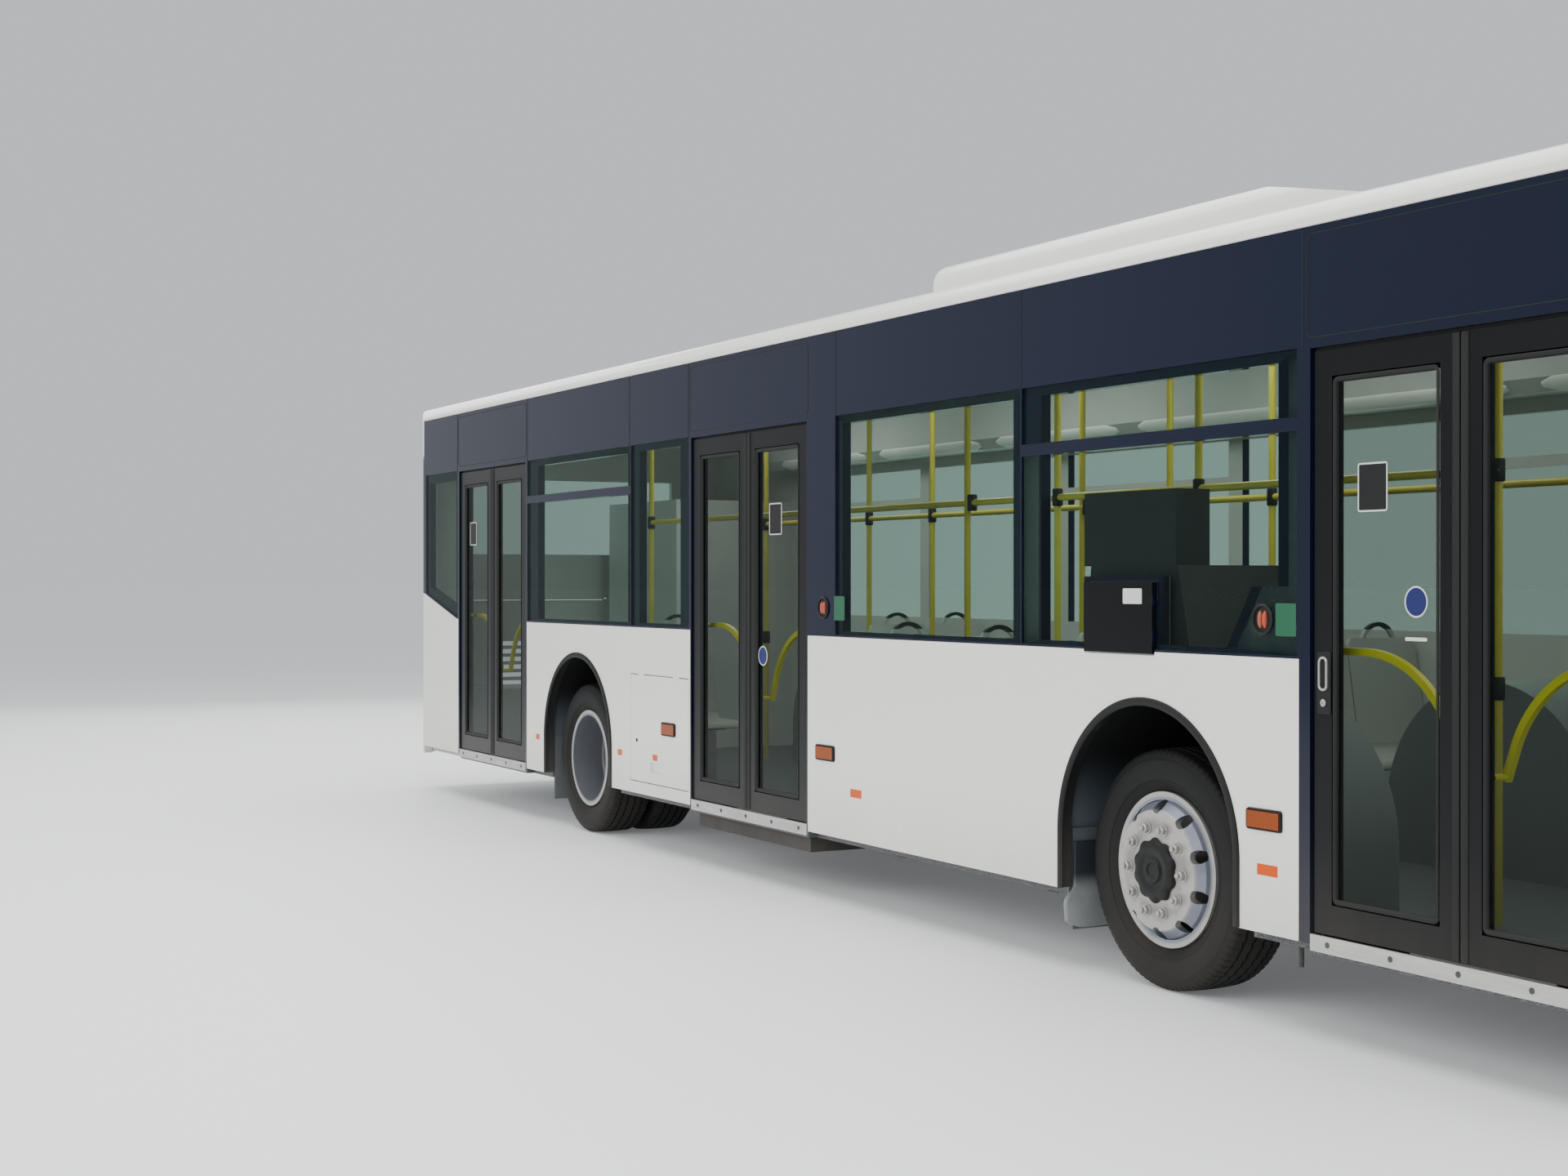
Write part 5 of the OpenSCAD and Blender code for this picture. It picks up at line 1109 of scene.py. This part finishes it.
# %% Facing forwards, rearwards or up
def placed(points_faces, origin, along, up, out):
    """Maps the point (a, -c, b) to origin + a * along + b * up + c * out."""
    points, faces = points_faces
    points = np.asarray(points)
    axes = np.array([along, up, out], float)
    return np.asarray(origin, float) + points[:, [0, 2, 1]] * (1, 1, -1) @ axes, faces


def knob(profile, at, axes, steps, ring=False):
    """A turned form at a point, whose axis is the third of the axes."""
    return placed(turned(profile, (0, 0, 0), -1, steps, ring), at, *axes)


FORWARDS = ((0, 1, 0), (0, 0, 1), (1, 0, 0))
REARWARDS = ((0, -1, 0), (0, 0, 1), (-1, 0, 0))
UPWARDS = ((1, 0, 0), (0, 1, 0), (0, 0, 1))

# %% [markdown]
# ## Seams of the dark band
#
# The band over the windows is made of glass and sheet panels with a narrow rubber joint at each
# pillar. Over every door a flap covers the door's drive; only the fine seal round it shows.

# %% Joints and the seals of the drive flaps
BAND_JOINTS = {"right": (4.170, 2.429, 0.816, -0.900, -1.735, -3.462, -4.915),
               "left": (4.420, 2.429, 0.816, -0.808, -2.443, -4.067)}
JOINT_HALF, JOINT_Z = 0.003, (2.400, 2.810)
DRIVE_FLAP_HALF, DRIVE_FLAP_Z = 0.700, (2.430, 2.785)
FLAP_SEAL = ((0.0002, 0.0), (0.0012, 0.0005), (0.0012, 0.0040), (0.0002, 0.0045))
for side, joints in BAND_JOINTS.items():
    loops = [rounded_loop(x - JOINT_HALF, x + JOINT_HALF, *JOINT_Z, 0.002, 3) for x in joints]
    strips = [plate_on_side(SIDES[side], SIDE_Y + 0.0002, loop, 0.0012, 0.0005) for loop in loops]
    piece(f"band_joints_{side}", strips, rubber)
flaps = [rounded_loop(x - DRIVE_FLAP_HALF, x + DRIVE_FLAP_HALF, *DRIVE_FLAP_Z, 0.03)
         for x in DOORS.values()]
piece("drive_flap_seals", [frame_on_side(-1, SIDE_Y, loop, FLAP_SEAL) for loop in flaps], rubber)

# %% [markdown]
# ## Feet of the front door's jambs
#
# The solids of the front door's two dark jambs stop short of the skirt, at a plane that leans
# like the windscreen. Each gets a foot of the same section, from the skirt up to that plane.

# %% Jamb feet
LEAN = math.tan(math.radians(3.5))
JAMB_BACK, JAMB_DEPTH, JAMBS = 1.2152, 0.0598, ((4.151, 4.208), (5.582, 5.639))
PLANE_X, PLANE_Z = 4.151, 0.47435
feet = []
for x0, x1 in JAMBS:
    top0, top1 = (PLANE_Z + (x - PLANE_X) * LEAN for x in (x0, x1))
    outline = [(x1, top1), (x0, top0), (x0, SKIRT_Z), (x1, SKIRT_Z)]
    feet.append(plate_on_side(-1, JAMB_BACK, outline, JAMB_DEPTH, 0.0003))
piece("front_jamb_feet", feet, band_black)

# %% [markdown]
# ## Mirrors, headlamps and wipers
#
# The mirror heads get their glass on the rear face, with a thin black rim. Behind each clear lamp
# cover sit two bowls whose outline is a parabola, so radius squared grows with the distance from
# the bulb. The wipers lie on the windscreen, which is a cylinder that leans back, so their points
# are worked out from its radius and its lean.

# %% Mirror glasses
MIRROR_X, MIRROR_Y = 5.6896, 1.375
MIRROR_RIM = ((0.0, 0.0), (0.004, 0.0), (0.0045, 0.002), (0.004, 0.005), (0.0, 0.005))
loop = rounded_loop(-0.050, 0.050, 1.925, 2.295, 0.018)
glass_plate, glass_rim = plate_on_side(-1, 0, loop, 0.002), frame_on_side(-1, 0, loop, MIRROR_RIM)
for side, s in SIDES.items():
    at = (MIRROR_X, s * MIRROR_Y, 0)
    piece(f"mirror_glass_{side}", [placed(glass_plate, at, *REARWARDS)], chrome)
    piece(f"mirror_rim_{side}", [placed(glass_rim, at, *REARWARDS)], rubber)

# %% Headlamp bowls and bulbs
BOWL_R, BOWL_DEEP, BOWL_LIP, BULB_R = 0.068, 0.062, 0.010, 0.009
BOWLS_Y, BOWLS_Z, BOWL_BACK = (0.845, 1.015), 0.695, 0.048
TRAY_X, TRAY_Y = 5.748, 0.93
FRONT_R, FRONT_X0 = 5.5, 5.975
BULB = ((-0.058, 0.0005), (-0.058, BULB_R * 0.7), (-0.030, BULB_R), (-0.020, BULB_R * 0.8),
        (-0.016, 0.0005))


def bowl(radius, depth, lip, wall=0.003, rows=14):
    """A parabola: radius * sqrt(t) at depth * (t - 1), with a lip in front and a wall behind."""
    t = np.linspace(0, 1, rows)
    inner = np.stack([depth * (t - 1), radius * np.sqrt(t)], 1)
    outer = np.stack([depth * (t[::-1] - 1) - wall, radius * np.sqrt(t[::-1]) + wall], 1)
    edge = np.array([(0.002, radius + 0.002), (0.002, radius + lip), (-0.002, radius + lip)])
    return np.concatenate([inner, edge, outer])


tray = plate_on_side(-1, 0, rounded_loop(-0.175, 0.175, 0.606, 0.784, 0.02), 0.004)
for side, s in SIDES.items():
    bowls, bulbs = [], []
    for y in BOWLS_Y:
        reach = math.sqrt(FRONT_R ** 2 - (y + BOWL_R + BOWL_LIP) ** 2) - FRONT_R
        at = (FRONT_X0 + reach - BOWL_BACK, s * y, BOWLS_Z)
        bowls.append(knob(bowl(BOWL_R, BOWL_DEEP, BOWL_LIP), at, FORWARDS, 56))
        bulbs.append(knob(BULB, at, FORWARDS, 24))
    piece(f"headlamp_bowls_{side}", bowls, chrome)
    piece(f"headlamp_bulbs_{side}", bulbs, label_white)
    piece(f"headlamp_tray_{side}", [placed(tray, (TRAY_X, s * TRAY_Y, 0), *FORWARDS)],
          black_plastic)

# %% Wipers
WIPERS_Y, PIVOT_SHARE = ((-1.02, -0.16), (0.06, 0.92)), 0.74
BLADE_Z, BLADE_RISE, PIVOT_Z, ARM_END_Z = 1.385, 0.055, 1.285, 1.412
PIVOT = ((0.0, 0.026), (0.026, 0.022), (0.036, 0.018), (0.038, 0.0005))


def on_screen(y, z, off):
    """The windscreen's point at y, z, pushed out by off.

    Its x is the front's x - the curve's sagitta at y - lean * (z - belt) + off.
    """
    sag = FRONT_R - np.sqrt(FRONT_R ** 2 - np.asarray(y) ** 2)
    return xyz(FRONT_X0 - sag - LEAN * (z - BELT_Z) + off, y, z)


def rod(path, half_w, half_h):
    """A bar with an eight-sided outline along a path, closed at both ends."""
    a = full_turn(8) + math.pi / 8
    return swept(path, np.stack([half_h * np.cos(a), half_w * np.sin(a)], 1), (1, 0, 0))


wipers = []
t = np.linspace(0, 1, 24)
for y0, y1 in WIPERS_Y:
    blade_y, blade_z = y0 + (y1 - y0) * t, BLADE_Z + BLADE_RISE * t
    wipers.append(rod(on_screen(blade_y, blade_z, 0.008), 0.004, 0.0075))
    wipers.append(rod(on_screen(blade_y[2:-2], blade_z[2:-2], 0.021), 0.007, 0.004))
    pivot_y = y0 + PIVOT_SHARE * (y1 - y0)
    arm_y = pivot_y + (y0 + (y1 - y0) * 0.5 - pivot_y) * t
    arm_z = PIVOT_Z + (ARM_END_Z - PIVOT_Z) * t
    wipers.append(rod(on_screen(arm_y, arm_z, 0.030 - 0.006 * t), 0.010, 0.005))
    at = on_screen(np.array(pivot_y), np.array(PIVOT_Z), 0.0003)
    wipers.append(knob(PIVOT, at, FORWARDS, 32))
piece("wipers", wipers, black_plastic, angle=40)

# %% [markdown]
# ## Seals over the doors, and screws in the sills
#
# A brush strip hides the gap over the leaves, and countersunk screws hold each aluminium sill.

# %% Header seals and sill screws
SEAL_HALF, SCREWS_HALF, SCREW_Y, SCREW_Z = 0.684, 0.60, 1.2752, 0.342
BRUSH = np.array([(-1.2540, 2.3826), (-1.2535, 2.3822), (-1.2385, 2.3822), (-1.2380, 2.3826),
                  (-1.2380, 2.3917), (-1.2540, 2.3917)])
SCREW = ((0.0, 0.0105), (0.0012, 0.0105), (0.0018, 0.009), (0.0006, 0.005), (0.0006, 0.0004))
seals, screws = [], []
for middle_x in DOORS.values():
    run = np.linspace(middle_x - SEAL_HALF, middle_x + SEAL_HALF, 24)[:, None]
    points, faces = tube(xyz(run, BRUSH[:, 0], BRUSH[:, 1]))
    seals.append((points, [face[::-1] for face in faces]))
    for x in np.linspace(middle_x - SCREWS_HALF, middle_x + SCREWS_HALF, 5):
        screws.append(turned(SCREW, (x, -SCREW_Y, SCREW_Z), -1, 20))
piece("door_header_seals", seals, rubber, angle=40)
piece("sill_screws", screws, steel_dark, angle=40)

# %% [markdown]
# ## Mud flaps
#
# Behind each front wheel the liner ends in a rubber sheet, dark with road film, whose pale foot
# has taken a set and flares outwards. It is a table of across and down. The outward swing is a
# smooth step of the height, so the sheet hangs straight and then opens like a skirt.

# %% Flared feet of the mud flaps
FLAP_X, FLAP_TOP, FLAP_FOOT = 2.7082, 0.520, 0.172
FLAP_INNER_Y, FLAP_WIDE, FLAP_THICK = 0.890, 0.313, 0.006


def flap_finish():
    """Rubber, blue-black above and rubbed pale at the foot."""
    material, shader, place = finish("mud_flap_rubber")
    cloud = place.noise(14.0, 4.0, 0.6)
    worn = place.axis("Z").step(0.395, 0.31) * (0.75 + cloud * 0.35)
    feed(shader, Base_Color=worn.mix((0.020, 0.026, 0.034), (0.27, 0.285, 0.28)),
         Roughness=0.5 + cloud * 0.2, Normal=place.bump(place.noise(60.0, 3.0), 0.6, 0.001))
    return material


flap_rubber = flap_finish()
across, down = np.meshgrid(np.linspace(0, 1, 24), np.linspace(0, 1, 40), indexing="ij")
lost = np.clip((down - 0.50) / 0.30, 0, 1)
swing = lost * lost * (3 - 2 * lost)
corner = np.clip((across - 0.75) / 0.25, 0, 1) ** 2
x = FLAP_X + 0.040 * swing * down + 0.006 * np.sin(3 * math.pi * across) * swing
y = FLAP_INNER_Y + FLAP_WIDE * across + 0.070 * across ** 1.5 * swing
z = FLAP_TOP - (FLAP_TOP - FLAP_FOOT) * down + 0.030 * swing * corner
for side, s in SIDES.items():
    flap = piece(f"mud_flap_{side}", [table(xyz(x, s * y, z))], flap_rubber, angle=60)
    wall = flap.modifiers.new("thickness", "SOLIDIFY")
    wall.thickness, wall.offset = FLAP_THICK, 0.0

# %% [markdown]
# ## Saloon: lamp strips and pole clamps
#
# Two rows of long lamp covers follow the ceiling ducts, and a black clamp joins each pole to the
# rail over it.

# %% Lamp strips and clamps
lamp_cover = moulded("lamp_cover", (0.86, 0.86, 0.84), 0.35, 1500.0, 0.00003)
STRIP_Y, STRIP_Z, STRIP_LONG, DIAGONAL = 0.99, 2.455, 1.25, 0.7071
strips = []
a, run = np.linspace(0, math.pi, 11), np.linspace(0, STRIP_LONG, 16)
outline = np.stack([0.018 * np.sin(a), 0.045 * np.cos(a)], 1)
ends = np.sqrt(np.clip(1 - ((run - STRIP_LONG / 2) / 0.627) ** 40, 0, 1))
for s in (-1, 1):
    slope, out = np.array((0, s * DIAGONAL, -DIAGONAL)), np.array((0, -s * DIAGONAL, -DIAGONAL))
    for x in np.arange(-4.1, 5.3, 1.45):
        base = np.array((x, s * STRIP_Y, STRIP_Z))
        grid = (base + run[:, None, None] * np.array((1, 0, 0)) + out * 0.0008
                + ends[:, None, None] * (outline[None, :, :1] * out + outline[None, :, 1:] * slope))
        points, faces = tube(grid)
        strips.append((points, faces if s > 0 else [list(f)[::-1] for f in faces]))
piece("saloon_lamp_strips", strips, lamp_cover, angle=40)

RAIL_Y, CLAMPS_Z = 0.440, (1.990, 1.20)
POLES = ((4.26, 1), (4.26, -1), (2.56, -1), (2.01, 1), (1.50, -1), (1.23, 1), (0.745, -1),
         (0.515, 1), (-1.08, -1), (-1.08, 1), (-1.85, -1), (-1.85, 1), (-3.30, -1), (-3.30, 1))
COLLAR = ((-0.042, 0.0173), (-0.042, 0.0225), (-0.036, 0.0255), (0.036, 0.0255),
          (0.042, 0.0225), (0.042, 0.0173))
clamps = [knob(COLLAR, (x, s * RAIL_Y, z), UPWARDS, 28, True) for x, s in POLES for z in CLAMPS_Z]
piece("pole_clamps", clamps, black_plastic, angle=40)

# %% [markdown]
# ## Driver's seat
#
# The driver's seat is the one upholstered piece of the bus. Its foam is a closed form whose faces
# are crowned and whose sides pull in, and the cover is sewn in panels. Each pad starts as a
# rounded block, a little too small. A cloth simulation with pressure inside lets it swell until
# the cover is tight, as real foam does. The sewn channels are pressed in afterwards, because they
# are finer than the simulated mesh.


# %% Fabric, and blocks with soft corners
def woven_fabric():
    """Flat-woven cover: crossed threads three millimetres apart, with pale flecks."""
    material, shader, place = finish("driver_seat_fabric")
    warp, weft, run = (place.bands(direction, 105.0, 0.6) for direction in "YZX")
    threads = warp * 0.4 + weft * 0.3 + run * 0.3
    fleck = place.noise(380.0, 1.0).step(0.60, 0.68)
    weave = threads.mix((0.012, 0.014, 0.018), (0.036, 0.040, 0.050))
    feed(shader, Base_Color=fleck.mix(weave, (0.10, 0.12, 0.15)),
         Roughness=0.8 + place.noise(8.0, 3.0) * 0.12, Normal=place.bump(threads, 0.7, 0.0005),
         Sheen_Weight=0.25, Specular_IOR_Level=0.2)
    return material


def soft_block(centre, half, corner=0.42, rows=40, steps=80):
    """A closed block with soft edges: half * (cv cu, cv su, sv), where c and s are a cosine and
    a sine that keep their sign and are raised to the power corner."""
    v, u = np.linspace(-math.pi / 2, math.pi / 2, rows)[:, None], full_turn(steps)

    def soft(wave):
        return np.sign(wave) * np.abs(wave) ** corner

    level = soft(np.cos(v))
    grid = xyz(level * soft(np.cos(u)), level * soft(np.sin(u)), soft(np.sin(v)))
    return table(grid * np.asarray(half) + np.asarray(centre), wrap_v=True)


def mesh_points(mesh):
    """The mesh's points as an array of three columns."""
    flat = np.empty(len(mesh.vertices) * 3)
    mesh.vertices.foreach_get("co", flat)
    return flat.reshape(-1, 3)


# %% Swelling a pad
PAD_VOXEL, PAD_CAP, PAD_FRAMES, PAD_PRESSURE = 0.006, 0.016, 20, 4.0


def settled(ob):
    """The object's mesh with its modifiers worked in, as a new mesh."""
    depsgraph = bpy.context.evaluated_depsgraph_get()
    return bpy.data.meshes.new_from_object(ob.evaluated_get(depsgraph))


def swell(ob):
    """Remeshes the pad evenly, blows it up as cloth, and caps how far each point has moved."""
    even = ob.modifiers.new("even", "REMESH")
    even.mode, even.voxel_size = "VOXEL", PAD_VOXEL
    mesh = settled(ob)
    ob.modifiers.clear()
    ob.data = mesh
    start = mesh_points(mesh)
    cloth = ob.modifiers.new("cloth", "CLOTH")
    cloth.settings.use_pressure = True
    cloth.settings.uniform_pressure_force = PAD_PRESSURE
    cloth.settings.effector_weights.gravity = 0.0
    cloth.point_cache.frame_start, cloth.point_cache.frame_end = 1, PAD_FRAMES
    for number in range(1, PAD_FRAMES + 1):
        bpy.context.scene.frame_set(number)
    moved = mesh_points(settled(ob)) - start
    ob.modifiers.clear()
    reach = np.linalg.norm(moved, axis=1)[:, None]
    return start + moved * np.minimum(1, PAD_CAP / np.maximum(reach, 1e-9))


def groove(points, outwards, distance, depth, width=0.007):
    """Presses points back along outwards by depth * exp(-(distance / width) squared)."""
    return points - outwards * (depth * np.exp(-(distance / width) ** 2))[:, None]


def pad(name, centre, half, flat_axis, flat_at, seams):
    """One foam pad. It stays flat where it rests, at flat_at along flat_axis (2 up, 0 forward).

    seams are (axis, place, depth): each is a channel sewn across the crowned face.
    """
    ob = piece(name, [soft_block(centre, half)], fabric, angle=60)
    points = swell(ob)
    points[:, flat_axis] = np.maximum(points[:, flat_axis], flat_at)
    crown = np.eye(3)[flat_axis] * (points[:, flat_axis] > centre[flat_axis])[:, None]
    for axis, place_at, depth in seams:
        points = groove(points, crown, points[:, axis] - place_at, depth)
    ob.data.vertices.foreach_set("co", points.ravel())
    ob.data.polygons.foreach_set("use_smooth", np.ones(len(ob.data.polygons), bool))
    ob.data.materials.clear()
    ob.data.materials.append(fabric)
    ob.data.update()
    finer = ob.modifiers.new("finer", "SUBSURF")
    finer.levels = finer.render_levels = 1
    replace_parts(ob, "driver_seat")
    return ob


# %% The three pads
fabric = woven_fabric()
SEAT_Y = 0.750
PADS = {
    "driver_cushion": ((4.936, SEAT_Y, 0.779), (0.190, 0.215, 0.040), 2, 0.7235,
                       ((1, SEAT_Y - 0.135, 0.010), (1, SEAT_Y + 0.135, 0.010),
                        (0, 4.900, 0.006), (0, 4.985, 0.006))),
    "driver_backrest": ((4.674, SEAT_Y, 1.085), (0.030, 0.205, 0.312), 0, 4.6335,
                        ((1, SEAT_Y - 0.130, 0.010), (1, SEAT_Y + 0.130, 0.010), (2, 0.95, 0.006),
                         (2, 1.08, 0.006), (2, 1.21, 0.006))),
    "driver_headrest": ((4.672, SEAT_Y, 1.498), (0.026, 0.112, 0.062), 0, 4.635,
                        ((2, 1.498, 0.005),)),
}
for name, (centre, half, flat_axis, flat_at, seams) in PADS.items():
    made = pad(name, centre, half, flat_axis, flat_at, seams)
    print(name, "points:", len(made.data.vertices))

# %% [markdown]
# ## The seat's hard parts
#
# A thin moulded shell backs the upholstery, two steel posts carry the headrest, and the seat
# stands on an air suspension hidden by a rubber bellows. The bellows is a table of height and
# angle round a rounded rectangle, drawn in and out by a cosine of the height.

# %% Shell, posts and bellows
FLOOR_Z, POST = 0.340, ((-0.060, 0.006), (0.060, 0.006))


def bellows(loop, z0, z1, folds, depth, rows=85):
    """The loop at each height, pulled towards its middle by depth * (1 - cos(folds turns)) / 2."""
    loop, t = np.asarray(loop), np.linspace(0, 1, rows)
    middle, half = loop.mean(0), np.ptp(loop, 0).min() / 2
    pull = 1 - depth / half * (1 - np.cos(2 * math.pi * folds * t)) / 2
    ring = middle + (loop - middle)[None] * pull[:, None, None]
    return tube(xyz(ring[..., 0], ring[..., 1], (z0 + (z1 - z0) * t)[:, None]))


def slab(loop, z0, z1, edge=0.003):
    """A plate that lies flat: the loop drawn in at both faces by edge, for a soft rim."""
    inner = drawn_in(loop, edge)
    rings = ((inner, z0), (loop, z0 + edge), (loop, z1 - edge), (inner, z1))
    return tube(np.stack([xyz(r[:, 0], r[:, 1], z) for r, z in rings]))


shell = soft_block((4.6215, SEAT_Y, 1.080), (0.0105, 0.218, 0.330), 0.3)
posts = [knob(POST, (4.672, y, 1.425), UPWARDS, 20) for y in (SEAT_Y - 0.06, SEAT_Y + 0.06)]
folds = bellows(rounded_loop(4.77, 5.03, 0.62, 0.88, 0.04), 0.3735, 0.693, 7, 0.022)
plates = [slab(rounded_loop(4.75, 5.05, 0.60, 0.90, 0.03), FLOOR_Z + 0.0005, 0.373),
          slab(rounded_loop(4.745, 5.09, 0.57, 0.93, 0.03), 0.6935, 0.723)]
hard_parts = {
    "driver_seat_shell": ([shell], seat_shell_grey),
    "driver_headrest_posts": (posts, zinc),
    "driver_seat_bellows": ([folds], rubber),
    "driver_seat_plates": (plates, black_plastic),
}
for name, (tables, material) in hard_parts.items():
    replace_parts(piece(name, tables, material), "driver_seat")
print("driver's seat:", len(PADS) + len(hard_parts), "pieces")
